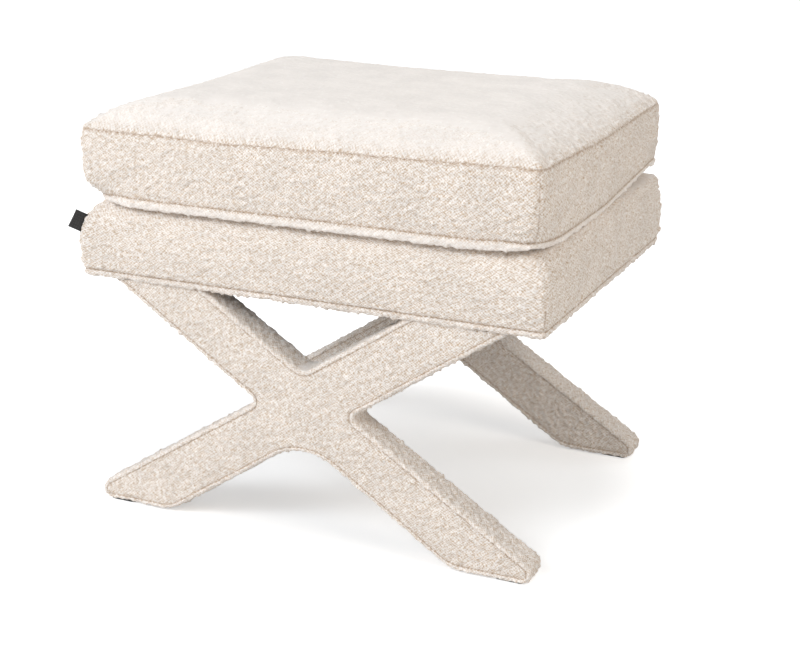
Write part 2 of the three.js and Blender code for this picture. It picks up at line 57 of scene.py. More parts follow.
# Sizes in millimetres: X across the front, Y to the back, Z up from the floor.
DECK_HALF = (300.0, 226.0)
DECK_LOW, DECK_SHOULDER, DECK_TOP = 303.5, 353.0, 398.5
DECK_SWELL, DECK_EDGE_RUN = 6.5, 40.0
DECK_HEM_CORNER, DECK_SHOULDER_CORNER, DECK_TOP_CORNER = 6.0, 12.0, 22.0
HEM_STITCH, HEM_LIP = 8.6, 16.0
BOARD_TOP = 363.4

CUSHION_HALF = (292.0, 228.5)
CUSHION_LOW, CUSHION_SEAM = 398.8, 489.5
CUSHION_CROWN, CROWN_POWER = 35.6, 12.0
CUSHION_SEAM_OUT, CUSHION_SWELL = 3.4, 4.3
CUSHION_CORNER, CUSHION_SIDE_CORNER, CROWN_CORNER, CUSHION_LOW_CORNER = 15.0, 17.0, 42.0, 24.0
WELT_HEIGHT, WELT_OUT, PANEL_IN = 10.0, 3.5, 9.0

FRAME_Y, FRAME_HALF = 204.7, 19.3
ARM_TOP, SEAM_INSET, FOOT_SEAM_IN, TOE_X = 303.2, 5.6, 28.0, 294.0
FOOT_SAG = (0.5, 1.7)

ZIP_Z, ZIP_Y, ZIP_HALF_X = 443.5, 233.45, 268.0
ZIP_SLOT, TAPE_WIDTH = 8.2, 17.0


def corner_point(u, v, radius=0.0, fixed=False):
    """One corner of the X outline; fixed keeps the edge that starts there in its place."""
    return {"at": (u, v), "radius": radius, "fixed": fixed}


# The X of a leg frame in the XZ plane, anticlockwise from the front, from the left toe.
X_CORNERS = [
    corner_point(-294.0, 2.8, 6.5),
    corner_point(-191.2, 2.8, 52.0),
    corner_point(0.0, 131.2, 72.0),
    corner_point(191.2, 2.8, 52.0),
    corner_point(294.0, 2.8, 9.5),
    corner_point(294.0, 22.2, 13.0),
    corner_point(61.6, 171.2, 7.0),
    corner_point(259.0, ARM_TOP, fixed=True),
    corner_point(133.8, ARM_TOP),
    corner_point(0.0, 216.8, 18.0),
    corner_point(-133.8, ARM_TOP, fixed=True),
    corner_point(-259.0, ARM_TOP),
    corner_point(-61.6, 171.2, 7.0),
    corner_point(-294.0, 22.2, 13.0),
]


# The numbers of the corners at the arms' upper ends.
RIGHT_OUTER, RIGHT_INNER, LEFT_INNER, LEFT_OUTER = 7, 8, 10, 11


# Settings that a user may change

def length(name, description, default_mm, low_mm, high_mm):
    """A length setting, kept in metres."""
    return bpy.props.FloatProperty(
        name=name, description=description, default=default_mm * MM,
        min=low_mm * MM, max=high_mm * MM, unit="LENGTH", subtype="DISTANCE", precision=4)


def share(name, description, default, low=0.0, high=1.0):
    """A plain number setting."""
    return bpy.props.FloatProperty(
        name=name, description=description, default=default, min=low, max=high, subtype="FACTOR")


def power(name, description, default):
    """A setting for a lamp's power in watts."""
    return bpy.props.FloatProperty(name=name, description=description, default=default, min=0.0, unit="POWER")


def linear(hex_colour):
    """The linear RGBA of an sRGB hex colour."""
    parts = [int(hex_colour[i:i + 2], 16) / 255 for i in (1, 3, 5)]
    return [p / 12.92 if p <= 0.04045 else ((p + 0.055) / 1.055) ** 2.4 for p in parts] + [1.0]


def colour(name, description, hex_colour):
    """A colour setting."""
    return bpy.props.FloatVectorProperty(
        name=name, description=description, default=linear(hex_colour),
        size=4, min=0.0, max=1.0, subtype="COLOR")


class StoolClothSettings(bpy.types.PropertyGroup):
    """The boucle cloth and its sewing"""
    weave_pitch: length("Weave pitch", "From one yarn of the weave to the next but one", 4.5, 2, 8)
    loop_size: length("Loop size", "Width of one curl of the yarn", 1.3, 0.8, 5)
    clump_size: length("Clump size", "Width of the small clumps that the curls form", 4.6, 2, 15)
    loop_height: length("Loop height", "How far the loops stand above the ground weave", 0.8, 0.1, 2)
    fluff: length("Fluff", "Uneven height of the pile on the surface", 1.15, 0, 2.5)
    loop_colour: colour("Loops", "Cream yarn on top", "#faf5f1")
    gap_colour: colour("Gaps", "Shaded ground between the loops", "#c3ab90")
    nub_colour: colour("Nubs", "Single thick lighter loops", "#fffdf9")
    # Along the seams the cloth is painted this brownish colour: partly the ground where the pile is pressed,
    # partly painted shade in the seam's crease.
    seam_ground_and_shade: colour("Seam shade", "Brownish ground that shows where a seam presses the pile", "#9c7a59")
    thread_colour: colour("Thread", "Sewing thread in the seams", "#c4a98d")
    stitch_pitch: length("Stitch pitch", "Distance from one stitch to the next", 6.2, 3, 12)
    stitch_length: length("Stitch length", "Length of thread that shows", 4.0, 2, 10)
    seam_depth: length("Seam depth", "How far a seam is drawn in", 0.8, 0.5, 5)


class StoolCushionSettings(bpy.types.PropertyGroup):
    """The loose cushion"""
    swelling: length("Swelling", "Most that the filling pushes the cover out", 4.5, 0, 15)
    pressure: share("Pressure", "Pressure of the filling in the simulation", 4.0, 0.0, 20.0)
    pucker: length("Pucker", "Small waves that the sewing leaves along the seams", 0.8, 0, 3)


class StoolTimberSettings(bpy.types.PropertyGroup):
    """The wood inside"""
    beech: colour("Beech", "Early wood of the beech parts", "#d9b48a")
    beech_grain: colour("Beech grain", "Late wood and pores", "#b98a5c")
    birch: colour("Birch plywood", "Face veneer of the seat board", "#dcc096")


class StoolStageSettings(bpy.types.PropertyGroup):
    """Floor, lamps and camera"""
    floor: colour("Floor", "Colour of the floor", "#e9e9e9")
    key_power: power("Key lamp", "Power of the large lamp over the front left", 117.0)
    left_power: power("Left lamp", "Power of the lamp at the left", 9.0)
    right_power: power("Right lamp", "Power of the lamp at the right", 30.0)
    low_power: power("Low lamp", "Power of the low lamp in front", 10.0)
    rear_power: power("Rear lamp", "Power of the lamp behind", 9.0)
    sky: share("Surrounding light", "Strength of the even light from all sides", 0.34, 0.0, 2.0)
    lens: bpy.props.FloatProperty(
        name="Lens", description="Focal length of the camera", default=69.389,
        min=10.0, unit="CAMERA")


SETTINGS = {
    "stool_cloth": StoolClothSettings,
    "stool_cushion": StoolCushionSettings,
    "stool_timber": StoolTimberSettings,
    "stool_stage": StoolStageSettings,
}


# Materials

def fill(made, inputs):
    """Gives each input of a node, by name or index, an output to follow or a value to keep."""
    for name, value in inputs.items():
        if isinstance(value, bpy.types.NodeSocket):
            made.id_data.links.new(value, made.inputs[name])
        else:
            made.inputs[name].default_value = value


def node(tree, kind, inputs=None, **fields):
    """Adds a node with its fields and its inputs."""
    made = tree.nodes.new(kind)
    for name, value in fields.items():
        setattr(made, name, value)
    fill(made, inputs or {})
    return made


def reckon(tree, operation, *values, clamp=False):
    """The result of one sum."""
    inputs = dict(enumerate(values))
    return node(tree, "ShaderNodeMath", inputs, operation=operation, use_clamp=clamp).outputs[0]


def reckon_vector(tree, operation, *values):
    """The result of one sum with vectors."""
    return node(tree, "ShaderNodeVectorMath", dict(enumerate(values)), operation=operation).outputs["Vector"]


def mixed(tree, part, first, second):
    """The first colour where part is 0, the second where it is 1, and their mix between."""
    return node(tree, "ShaderNodeMix", {0: part, 6: first, 7: second}, data_type="RGBA").outputs[2]


def mapped(tree, value, start, end, low=0.0, high=1.0, **fields):
    """Goes from low to high while the value goes from start to end."""
    inputs = {"Value": value, "From Min": start, "From Max": end, "To Min": low, "To Max": high}
    return node(tree, "ShaderNodeMapRange", inputs, **fields).outputs["Result"]


def object_places(tree):
    """The place of each point in its object."""
    return node(tree, "ShaderNodeTexCoord").outputs["Object"]


def cloth_places(tree):
    """The place of each point in the flat cloth."""
    return node(tree, "ShaderNodeUVMap", uv_map="cloth").outputs["UV"]


def upwards(tree):
    """How far the surface faces up, from -1 to 1."""
    facing = node(tree, "ShaderNodeNewGeometry").outputs["True Normal"]
    return node(tree, "ShaderNodeSeparateXYZ", {"Vector": facing}).outputs["Z"]


def attribute(tree, name):
    """A value that a mesh carries at its points."""
    return node(tree, "ShaderNodeAttribute", attribute_name=name).outputs["Fac"]


def noise_texture(tree, places, scale, detail=1.0, distortion=0.0, dimensions="3D"):
    """The outputs of a cloudy noise."""
    inputs = {"Vector": places, "Scale": scale, "Detail": detail, "Distortion": distortion}
    return node(tree, "ShaderNodeTexNoise", inputs, noise_dimensions=dimensions).outputs


def grain_noise(tree, turn, scale, detail, distortion=0.0):
    """Noise that is drawn out along the grain of the wood."""
    lie = node(tree, "ShaderNodeMapping", {"Vector": object_places(tree), "Rotation": turn, "Scale": scale})
    return noise_texture(tree, lie.outputs["Vector"], 1.0, detail, distortion)["Fac"]


def cells(tree, places, scale, randomness=1.0, dimensions="3D"):
    """The distance to the nearest of many scattered points."""
    inputs = {"Vector": places, "Scale": scale, "Randomness": randomness}
    return node(tree, "ShaderNodeTexVoronoi", inputs, voronoi_dimensions=dimensions).outputs["Distance"]


def bands(tree, places, scale, distortion, direction):
    """Even bands that follow each other in one direction."""
    inputs = {"Vector": places, "Scale": scale, "Distortion": distortion}
    return node(tree, "ShaderNodeTexWave", inputs, bands_direction=direction).outputs["Fac"]


def start_material(name):
    """An empty material and its tree."""
    made = bpy.data.materials.new(name)
    made.use_nodes = True
    made.node_tree.nodes.clear()
    return made, made.node_tree


def finish_material(made, colours, roughness, relief=None, more=None):
    """Adds the shader with its colours, relief as (height, strength, depth in metres), and more inputs."""
    tree = made.node_tree
    inputs = {"Base Color": colours, "Roughness": roughness}
    if relief:
        height, strength, depth = relief
        bump = node(tree, "ShaderNodeBump", {"Height": height, "Strength": strength, "Distance": depth})
        inputs["Normal"] = bump.outputs["Normal"]
    shader = node(tree, "ShaderNodeBsdfPrincipled", inputs | (more or {}))
    node(tree, "ShaderNodeOutputMaterial", {"Surface": shader.outputs["BSDF"]})
    return made


def boucle_cloth(scene):
    """Boucle of wool and polyester, woven with looped yarn: fuzzy cream curls over a brownish ground."""
    s = scene.stool_cloth
    made, tree = start_material("boucle_woven")
    flat = cloth_places(tree)

    def patches(size, detail=1.0):
        return noise_texture(tree, flat, 1 / size, detail, dimensions="2D")

    # Warp and weft cross in a slightly uneven lattice, so the yarn shows as slanting lines of dots.
    uneven = reckon_vector(tree, "MULTIPLY_ADD", patches(9 * MM)["Color"], (4 * MM, 4 * MM, 0), flat)
    turns_per_metre = (2 * math.pi / s.weave_pitch, 2 * math.pi / (0.8 * s.weave_pitch), 0)
    turns = reckon_vector(tree, "MULTIPLY", uneven, turns_per_metre)
    waves = node(tree, "ShaderNodeSeparateXYZ", {"Vector": reckon_vector(tree, "SINE", turns)}).outputs
    lattice = reckon(tree, "MULTIPLY", waves["X"], waves["Y"])
    # The yarn curls in two crossing directions, and each curl is twice as long as wide.
    curls = []
    for turn in (36, -48):
        curl_size = (2.0 * s.loop_size, s.loop_size, 1.0)
        lie = node(tree, "ShaderNodeMapping",
                   {"Vector": flat, "Rotation": (0, 0, math.radians(turn)), "Scale": curl_size},
                   vector_type="TEXTURE")
        curls.append(noise_texture(tree, lie.outputs["Vector"], 1.0, distortion=0.7, dimensions="2D")["Fac"])
    curl = reckon(tree, "MAXIMUM", *curls)
    clumped = reckon(tree, "MULTIPLY_ADD", patches(s.clump_size)["Fac"], 0.55, curl)
    height = reckon(tree, "MULTIPLY_ADD", lattice, 0.22, clumped)
    crest = mapped(tree, height, 0.5, 1.06)
    # Painted highlight: the gaps close where the cloth faces up, so surfaces that face the top lamps come out
    # lighter and smoother.
    # They close too where the cloth is marked as rolled, which is partly a painted highlight as well.
    gap_outside_top_highlight = mapped(tree, upwards(tree), 0.86, 0.99, 1.0, 0.3)
    opened = reckon(tree, "MULTIPLY_ADD", attribute(tree, "rolled"), -0.7, gap_outside_top_highlight, clamp=True)
    shade = reckon(tree, "SUBTRACT", 1.0, crest)
    gap = node(tree, "ShaderNodeMix", {0: opened, 2: 0.06, 3: shade}, data_type="FLOAT").outputs[0]
    base = mixed(tree, gap, s.loop_colour, s.gap_colour)
    # Thick nubs of yarn, 2 mm wide, lie about 10 mm apart.
    nub = mapped(tree, cells(tree, flat, 1 / (10 * MM), dimensions="2D"), 0.16, 0.06, 0.0, 0.7)
    nubbed = mixed(tree, nub, base, s.nub_colour)
    tone = mapped(tree, patches(45 * MM, 2.0)["Fac"], 0.3, 0.7, 0.96, 1.03)
    toned = node(tree, "ShaderNodeVectorMath", {0: nubbed, 3: tone}, operation="SCALE").outputs["Vector"]
    # A seam shows as a broken brownish line, because the pile hides it in places: partly the ground where the
    # pile is pressed, partly painted shade in the seam's crease.
    patchy = reckon(tree, "MULTIPLY", patches(5 * MM)["Fac"], 0.5)
    frayed = reckon(tree, "MULTIPLY_ADD", curls[1], 0.5, patchy)
    broken = mapped(tree, frayed, 0.44, 0.58, 0.05, 0.9)
    seam = reckon(tree, "MULTIPLY", attribute(tree, "seam"), broken)
    colours = mixed(tree, seam, toned, s.seam_ground_and_shade)
    raised = reckon(tree, "MULTIPLY_ADD", nub, 0.5, height)
    strength = mapped(tree, opened, 0.0, 1.0, 0.12, 0.42)
    fuzz = {"Specular IOR Level": 0.2, "Sheen Weight": 0.3, "Sheen Roughness": 0.5,
            "Sheen Tint": linear("#fffaf4")}
    return finish_material(made, colours, 0.95, (raised, strength, 1.5 * s.loop_height), fuzz)


def sewing_thread(scene):
    """Polyester sewing thread, twisted: a dull brown line with a fine slanted twist."""
    made, tree = start_material("polyester_thread_twisted")
    twist = bands(tree, object_places(tree), 700.0, 2.0, "DIAGONAL")
    bright = scene.stool_cloth.thread_colour
    dark = [0.72 * part for part in bright[:3]] + [1.0]
    return finish_material(made, mixed(tree, twist, dark, bright), 0.8, (twist, 0.4, 0.3 * MM))


def beech_wood(name, scene, along):
    """Beech, sawn and planed: straight pinkish-tan grain with short darker pores along the member."""
    s = scene.stool_timber
    made, tree = start_material(name)
    turn = {"x": (0, 0, 0), "rising": (0, math.radians(-33), 0), "falling": (0, math.radians(33), 0),
            "y": (0, 0, math.radians(90))}[along]
    # Growth rings lie about 3 mm apart across the grain and run some 400 mm along it.
    rings = grain_noise(tree, turn, (2.5, 330.0, 330.0), 3.0, 0.6)
    pores = grain_noise(tree, turn, (300.0, 2600.0, 2600.0), 1.0)
    grain = mixed(tree, rings, s.beech, s.beech_grain)
    colours = mixed(tree, mapped(tree, pores, 0.62, 0.75, 0.0, 0.6), grain, linear("#8d6238"))
    return finish_material(made, colours, 0.62, (pores, 0.3, 0.4 * MM))


def birch_plywood(scene):
    """Birch plywood, rotary cut and sanded: a pale, wide-figured face with thin plies along its edge."""
    made, tree = start_material("birch_plywood_sanded")
    figure = grain_noise(tree, (0, 0, 0), (3.0, 38.0, 38.0), 4.0, 1.4)
    # Nine plies of 1.3 mm show on the cut edge.
    plies = bands(tree, object_places(tree), 1 / (2.6 * MM) / 20, 0.3, "Z")
    face = mixed(tree, figure, scene.stool_timber.birch, linear("#c8a271"))
    edge = mixed(tree, plies, linear("#a97f50"), face)
    colours = mixed(tree, reckon(tree, "ABSOLUTE", upwards(tree)), edge, face)
    return finish_material(made, colours, 0.66, (figure, 0.2, 0.3 * MM))


def cut_foam():
    """Polyurethane foam, cut from a block: pale yellow and open-celled, with cells of about 1 mm."""
    made, tree = start_material("polyurethane_foam_cut")
    pores = cells(tree, object_places(tree), 1000.0)
    colours = mixed(tree, pores, linear("#f1e7bd"), linear("#cdbd86"))
    return finish_material(made, colours, 1.0, (pores, 0.6, 0.6 * MM))


def dust_felt():
    """Polypropylene fleece, spun and heat-bonded: thin black cloth with rows of bonding dots."""
    made, tree = start_material("polypropylene_fleece_bonded")
    flat = cloth_places(tree)
    # The bonding dots are 0.8 mm wide and 1.6 mm apart.
    dots = cells(tree, flat, 1 / (1.6 * MM), 0.0, "2D")
    fibres = noise_texture(tree, flat, 420.0, 4.0, 1.0, "2D")["Fac"]
    colours = mixed(tree, fibres, linear("#101011"), linear("#2b2b2d"))
    return finish_material(made, colours, 0.85, (dots, 0.5, 0.3 * MM))


def woven_tape(name, light, dark, spacing_mm):
    """Polyester tape, woven: close ribs across it, with a slight satin gleam."""
    made, tree = start_material(name)
    flat = cloth_places(tree)
    ribs = [bands(tree, flat, 1 / (spacing_mm * MM) / 20, 0.4, direction) for direction in "XY"]
    crossed = reckon(tree, "MULTIPLY", *ribs)
    colours = mixed(tree, crossed, linear(dark), linear(light))
    return finish_material(made, colours, 0.6, (crossed, 0.5, 0.3 * MM))


def moulded_plastic(name, light, dark, roughness):
    """Polypropylene, injection moulded: an even tone with a fine spark-eroded grain."""
    made, tree = start_material(name)
    grain = noise_texture(tree, object_places(tree), 2200.0, 2.0)["Fac"]
    colours = mixed(tree, grain, linear(dark), linear(light))
    return finish_material(made, colours, roughness, (grain, 0.25, 0.2 * MM), {"IOR": 1.49})


def plated_metal(name, light, dark, roughness, spangle):
    """Plated metal: a bright skin whose tone and polish vary in small soft patches."""
    made, tree = start_material(name)
    patches = noise_texture(tree, object_places(tree), spangle, 3.0)["Fac"]
    polish = mapped(tree, patches, 0.0, 1.0, roughness - 0.06, roughness + 0.08)
    colours = mixed(tree, patches, linear(dark), linear(light))
    return finish_material(made, colours, polish, more={"Metallic": 1.0})


# Shapes

HASH_FACTORS = np.array([73856093, 19349663, 83492791])
HASH_RANGE = 0x7FFFFFFF


def noise(points, cell, seed):
    """Smooth noise from -1 to 1 at points, with swells about one cell apart."""
    at = points / cell
    low = np.floor(at).astype(np.int64)
    part = at - low
    part = part * part * (3 - 2 * part)
    total = np.zeros(len(points))
    for corner in itertools.product((0, 1), repeat=3):
        key = (low + corner) * HASH_FACTORS
        drawn = (key[:, 0] ^ key[:, 1] ^ key[:, 2] ^ (seed * 974711)) & HASH_RANGE
        drawn = (drawn * 48271) % HASH_RANGE
        drawn ^= drawn >> 11
        drawn = (drawn * 69621) % HASH_RANGE
        weight = np.prod(np.where(corner, part, 1 - part), axis=1)
        total += weight * (drawn / (HASH_RANGE // 2) - 1)
    return total


def piece(name, points, faces, material, body, slot, flat=None, marks=None):
    """A mesh piece from points in millimetres that rides on a body.

    flat gives the place in the cloth of each point, or of each corner of each face. Each of the
    marks gives from 0 to 1 at each point how far the cloth lies in a seam, which is painted brownish
    with partly painted shade, or how far it is rolled, which closes its gaps and paints it lighter, partly as
    a highlight.
    """
    mesh = bpy.data.meshes.new(name)
    mesh.from_pydata((np.asarray(points) * MM).tolist(), [], np.asarray(faces).tolist())
    mesh.update()
    if flat is not None:
        layer = mesh.uv_layers.new(name="cloth")
        index = np.zeros(len(mesh.loops), np.int32)
        mesh.loops.foreach_get("vertex_index", index)
        places = flat[index] if len(flat) == len(points) else flat
        layer.uv.foreach_set("vector", (places * MM).astype(np.float32).ravel())
    for mark, values in (marks or {}).items():
        mesh.attributes.new(mark, "FLOAT", "POINT").data.foreach_set("value", values.astype(np.float32))
    mesh.polygons.foreach_set("use_smooth", np.ones(len(mesh.polygons), bool))
    mesh.materials.append(material)
    made = bpy.data.objects.new(name, mesh)
    bpy.context.scene.collection.objects.link(made)
    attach(made, body)
    return made


def refine(made, levels):
    """Subdivides a piece for good and keeps its corners."""
    divide = made.modifiers.new("divide", "SUBSURF")
    divide.levels = levels
    divide.boundary_smooth = "PRESERVE_CORNERS"
    graph = bpy.context.evaluated_depsgraph_get()
    mesh = bpy.data.meshes.new_from_object(
        made.evaluated_get(graph), preserve_all_data_layers=True, depsgraph=graph)
    made.modifiers.clear()
    old, made.data = made.data, mesh
    bpy.data.meshes.remove(old)


def mesh_points(made):
    """A piece's points in millimetres."""
    found = np.zeros(len(made.data.vertices) * 3)
    made.data.vertices.foreach_get("co", found)
    return found.reshape(-1, 3) / MM


def push_out(made, amount):
    """Moves a piece's points along their normals by amount(points, normals) in mm, but not its seams."""
    points = mesh_points(made)
    held = np.zeros(len(points), np.float32)
    if "seam" in made.data.attributes:
        made.data.attributes["seam"].data.foreach_get("value", held)
    normals = np.zeros(points.size)
    made.data.vertices.foreach_get("normal", normals)
    normals = normals.reshape(-1, 3)
    moved = points + normals * (amount(points, normals) * (1 - np.clip(1.4 * held, 0, 1)))[:, None]
    made.data.vertices.foreach_set("co", (moved * MM).ravel())
    made.data.update()


def pile(scene):
    """How the looped pile rises and falls over the cloth."""
    fluff = scene.stool_cloth.fluff / MM

    def amount(points, normals):
        stray = np.clip(noise(points, 4.4, 21) - 0.25, 0, 1)
        pressed = 1 - 0.65 * np.clip((normals[:, 2] - 0.88) / 0.09, 0, 1)
        return fluff * pressed * (noise(points, 3.3, 5) + 0.3 * noise(points, 6.6, 9)
                                  + 0.25 * noise(points, 34.0, 11) + 2.8 * stray)
    return amount


def grid_quads(rows, columns, wrap=False):
    """Quads of a grid of points, row by row."""
    across = columns if wrap else columns - 1
    r, c = np.meshgrid(np.arange(rows - 1), np.arange(across), indexing="ij")
    a = (r * columns + c).ravel()
    b = (r * columns + (c + 1) % columns).ravel()
    return np.stack([a, b, b + columns, a + columns], 1)


def grid_edge(nx, ny):
    """The numbers of the points round the edge of a grid, anticlockwise from its first point."""
    return np.concatenate([
        np.arange(nx - 1), nx - 1 + np.arange(ny - 1) * nx,
        nx * ny - 1 - np.arange(nx - 1), (ny - 1 - np.arange(ny - 1)) * nx])


def unit(vectors):
    """Vectors in the same directions, each of length 1."""
    return vectors / np.linalg.norm(vectors, axis=1)[:, None]


def lengths_along(path):
    """How far each point of a path lies from its start."""
    return np.concatenate([[0], np.cumsum(np.linalg.norm(np.diff(path, axis=0), axis=1))])


def outward_of(path):
    """The level outward direction at each point of a path that runs anticlockwise."""
    run = np.gradient(path, axis=0)
    return np.stack([run[:, 1], -run[:, 0], np.zeros(len(run))], 1)


def rounded(p, q, half_x, half_y, corner):
    """Places square coordinates from -1 to 1 on a rounded rectangle."""
    x, y = np.abs(p) * half_x, np.abs(q) * half_y
    u = (x - half_x + corner) / corner
    v = (y - half_y + corner) / corner
    inside = (u > 0) & (v > 0)
    u, v = np.clip(u, 0, 1), np.clip(v, 0, 1)
    x = np.where(inside, half_x - corner + corner * u * np.sqrt(1 - v * v / 2), x)
    y = np.where(inside, half_y - corner + corner * v * np.sqrt(1 - u * u / 2), y)
    return np.sign(p) * x, np.sign(q) * y


def ring_share(x, y, half, corner_of):
    """The share from 0 to 1 of the rounded rectangle that passes through each point."""
    low, high = np.zeros(len(x)), np.ones(len(x))
    for _ in range(30):
        middle = (low + high) / 2
        corner = np.minimum(corner_of(middle), 0.9 * middle * half[1])
        dx = np.abs(x) - (half[0] * middle - corner)
        dy = np.abs(y) - (half[1] * middle - corner)
        away = np.hypot(np.maximum(dx, 0), np.maximum(dy, 0)) + np.minimum(np.maximum(dx, dy), 0) - corner
        outside = away > 0
        low, high = np.where(outside, middle, low), np.where(outside, high, middle)
    return high


def fine_edges(half, step):
    """Grid lines from -1 to 1, close together at both ends where the seams are."""
    near = [0.0, 1.1, 2.8, 5.5]
    count = max(2, round((2 * half - 2 * near[-1]) / step))
    middle = np.linspace(-half + near[-1], half - near[-1], count + 1)
    ends = np.array(near[:-1])
    return np.concatenate([-half + ends, middle, (half - ends)[::-1]]) / half


# The numbers of a boxed form's panels. The quads of the slot are left out of every panel.
TOP, FRONT, RIGHT, REAR, LEFT, UNDER, REAR_LOW, SLOT = range(8)


def boxed_form(half, step, top, rows, bottom=True, plain=False):
    """A boxed form: points, quads, the panel of each quad and the place in the cloth of its corners.

    top gives the height over the plan. Each row is (step out, height, corner, kind), and kind says
    whether the quads above that row belong to the top, a side or the underside. At the back, "slot"
    stands for the quads that the zip leaves open, and "lower" for those of the strip below it. In
    the result, top and count are the numbers of points in the top and in each row, edge lists the
    top's outer points, and corner_at says where in a row the four corners are.
    """
    lines = [np.linspace(-1, 1, round(2 * h / step) + 1) if plain else fine_edges(h, step) for h in half]
    nx, ny = len(lines[0]), len(lines[1])
    q, p = [a.ravel() for a in np.meshgrid(lines[1], lines[0], indexing="ij")]
    edge = grid_edge(nx, ny)
    sides = np.repeat([FRONT, RIGHT, REAR, LEFT], [nx - 1, ny - 1, nx - 1, ny - 1])
    x, y = rounded(p, q, *half, rows[0][2])
    points = [np.stack([x, y, top(x, y)], 1)]
    quads, panels = [grid_quads(ny, nx)], [np.full((nx - 1) * (ny - 1), TOP)]
    count, ring = len(edge), edge
    following = np.roll(np.arange(count), -1)
    for i, (out, z, corner, kind) in enumerate(rows):
        x, y = rounded(p[edge], q[edge], half[0] + out, half[1] + out, corner)
        points.append(np.stack([x, y, np.full(count, float(z))], 1))
        lower = nx * ny + i * count + np.arange(count)
        quads.append(np.stack([lower, lower[following], ring[following], ring], 1))
        panels.append({"top": np.full(count, TOP), "side": sides, "under": np.full(count, UNDER),
                       "slot": np.where(sides == REAR, SLOT, sides),
                       "lower": np.where(sides == REAR, REAR_LOW, sides)}[kind])
        ring = lower
    if bottom:
        out, z, corner, _ = rows[-1]
        x, y = rounded(p, q, half[0] + out, half[1] + out, corner)
        base = nx * ny + len(rows) * count
        index = base + np.arange(nx * ny)
        index[edge] = ring
        points.append(np.stack([x, y, np.full(nx * ny, float(z))], 1))
        quads.append(index[grid_quads(ny, nx)][:, ::-1])
        panels.append(np.full((nx - 1) * (ny - 1), UNDER))
    points = np.concatenate(points)
    quads, panels = np.concatenate(quads), np.concatenate(panels)
    # Round the sides, the cloth is measured along the ring and down the rows.
    first = points[edge]
    along = lengths_along(first)
    whole = along[-1] + np.linalg.norm(first[0] - first[-1])
    round_it = points[:, :2].copy()
    round_it[edge] = np.stack([along, np.zeros(count)], 1)
    down, above = 0.0, first
    for i in range(len(rows)):
        at = nx * ny + i * count
        down += float(np.linalg.norm(points[at:at + count] - above, axis=1).mean())
        above = points[at:at + count]
        round_it[at:at + count] = np.stack([along, np.full(count, down)], 1)
    side = (panels != TOP) & (panels != UNDER)
    flat = np.where(side[:, None, None], round_it[quads], points[quads][:, :, :2])
    split = side & (np.ptp(flat[:, :, 0], axis=1) > whole / 2)
    flat[:, :, 0] += np.where(split[:, None] & (flat[:, :, 0] < whole / 2), whole, 0)
    marks = {"seam": np.zeros(len(points)), "rolled": np.zeros(len(points))}
    return {"points": points, "quads": quads, "panels": panels, "flat": flat, "marks": marks, "edge": edge,
            "top": nx * ny, "count": count, "corner_at": np.cumsum([0, nx - 1, ny - 1, nx - 1])}


def row_of(form, row):
    """The numbers of the points of one row, which is counted from the first below the top."""
    return form["top"] + row * form["count"] + np.arange(form["count"])


def mark_row(form, mark, row, around=0.0, most=1.0):
    """Notes a seam, or a roll with its painted highlight, along a row, with a weaker share on the rows beside
    it.
    """
    values = form["marks"][mark]
    for near, part in ((row - 1, around), (row, most), (row + 1, around)):
        at = form["edge"] if near < 0 else row_of(form, near)
        values[at] = np.maximum(values[at], part)


def corner_seams(form, depth, first, last):
    """Draws the cloth in along the four upright corner seams, from one row to another."""
    for start in form["corner_at"]:
        for step, part in ((0, 1.0), (1, 0.4), (-1, 0.4), (2, 0.05), (-2, 0.05)):
            column = (start + step) % form["count"]
            for row in range(first, last + 1):
                at = form["top"] + row * form["count"] + column
                fade = min(1.0, (row - first + 1) / 2)
                point = form["points"][at]
                form["points"][at, :2] -= np.sign(point[:2]) * depth * part * fade * DIAGONAL
                # The corner seam is painted brownish: pressed pile and painted shade in its crease.
                form["marks"]["seam"][at] = max(form["marks"]["seam"][at], 0.7 * fade * part ** 2)


def part_of(form, chosen):
    """The points, quads, cloth places, marks and old point numbers of the chosen quads."""
    quads = form["quads"][chosen]
    used, index = np.unique(quads, return_inverse=True)
    return (form["points"][used], index.reshape(quads.shape), form["flat"][chosen].reshape(-1, 2),
            {mark: values[used] for mark, values in form["marks"].items()}, used)


def outline(corners, inset, step):
    """Runs of points of a closed outline moved inwards by inset: one arc for each corner."""
    spots = np.array([c["at"] for c in corners], float)
    along = unit(np.roll(spots, -1, 0) - spots)
    inward = np.stack([-along[:, 1], along[:, 0]], 1)
    shift = np.array([0.0 if c["fixed"] else inset for c in corners])
    base = spots + inward * shift[:, None]
    runs = []
    for i, corner in enumerate(corners):
        before, after = along[i - 1], along[i]
        turn = before[0] * after[1] - before[1] * after[0]
        gap = base[i] - base[i - 1]
        apex = base[i - 1] + before * (gap[0] * after[1] - gap[1] * after[0]) / turn
        if not corner["radius"]:
            runs.append(apex[None])
            continue
        side = np.sign(turn)
        radius = max(corner["radius"] - side * inset, 0.6)
        angle = math.acos(float(before @ after))
        steps = max(2, round(angle * corner["radius"] / step))
        start = apex - before * radius * math.tan(angle / 2)
        centre = start + inward[i - 1] * side * radius
        turned = side * angle * np.linspace(0, 1, steps + 1)
        arm = start - centre
        runs.append(centre + np.stack([arm[0] * np.cos(turned) - arm[1] * np.sin(turned),
                                       arm[0] * np.sin(turned) + arm[1] * np.cos(turned)], 1))
    return runs


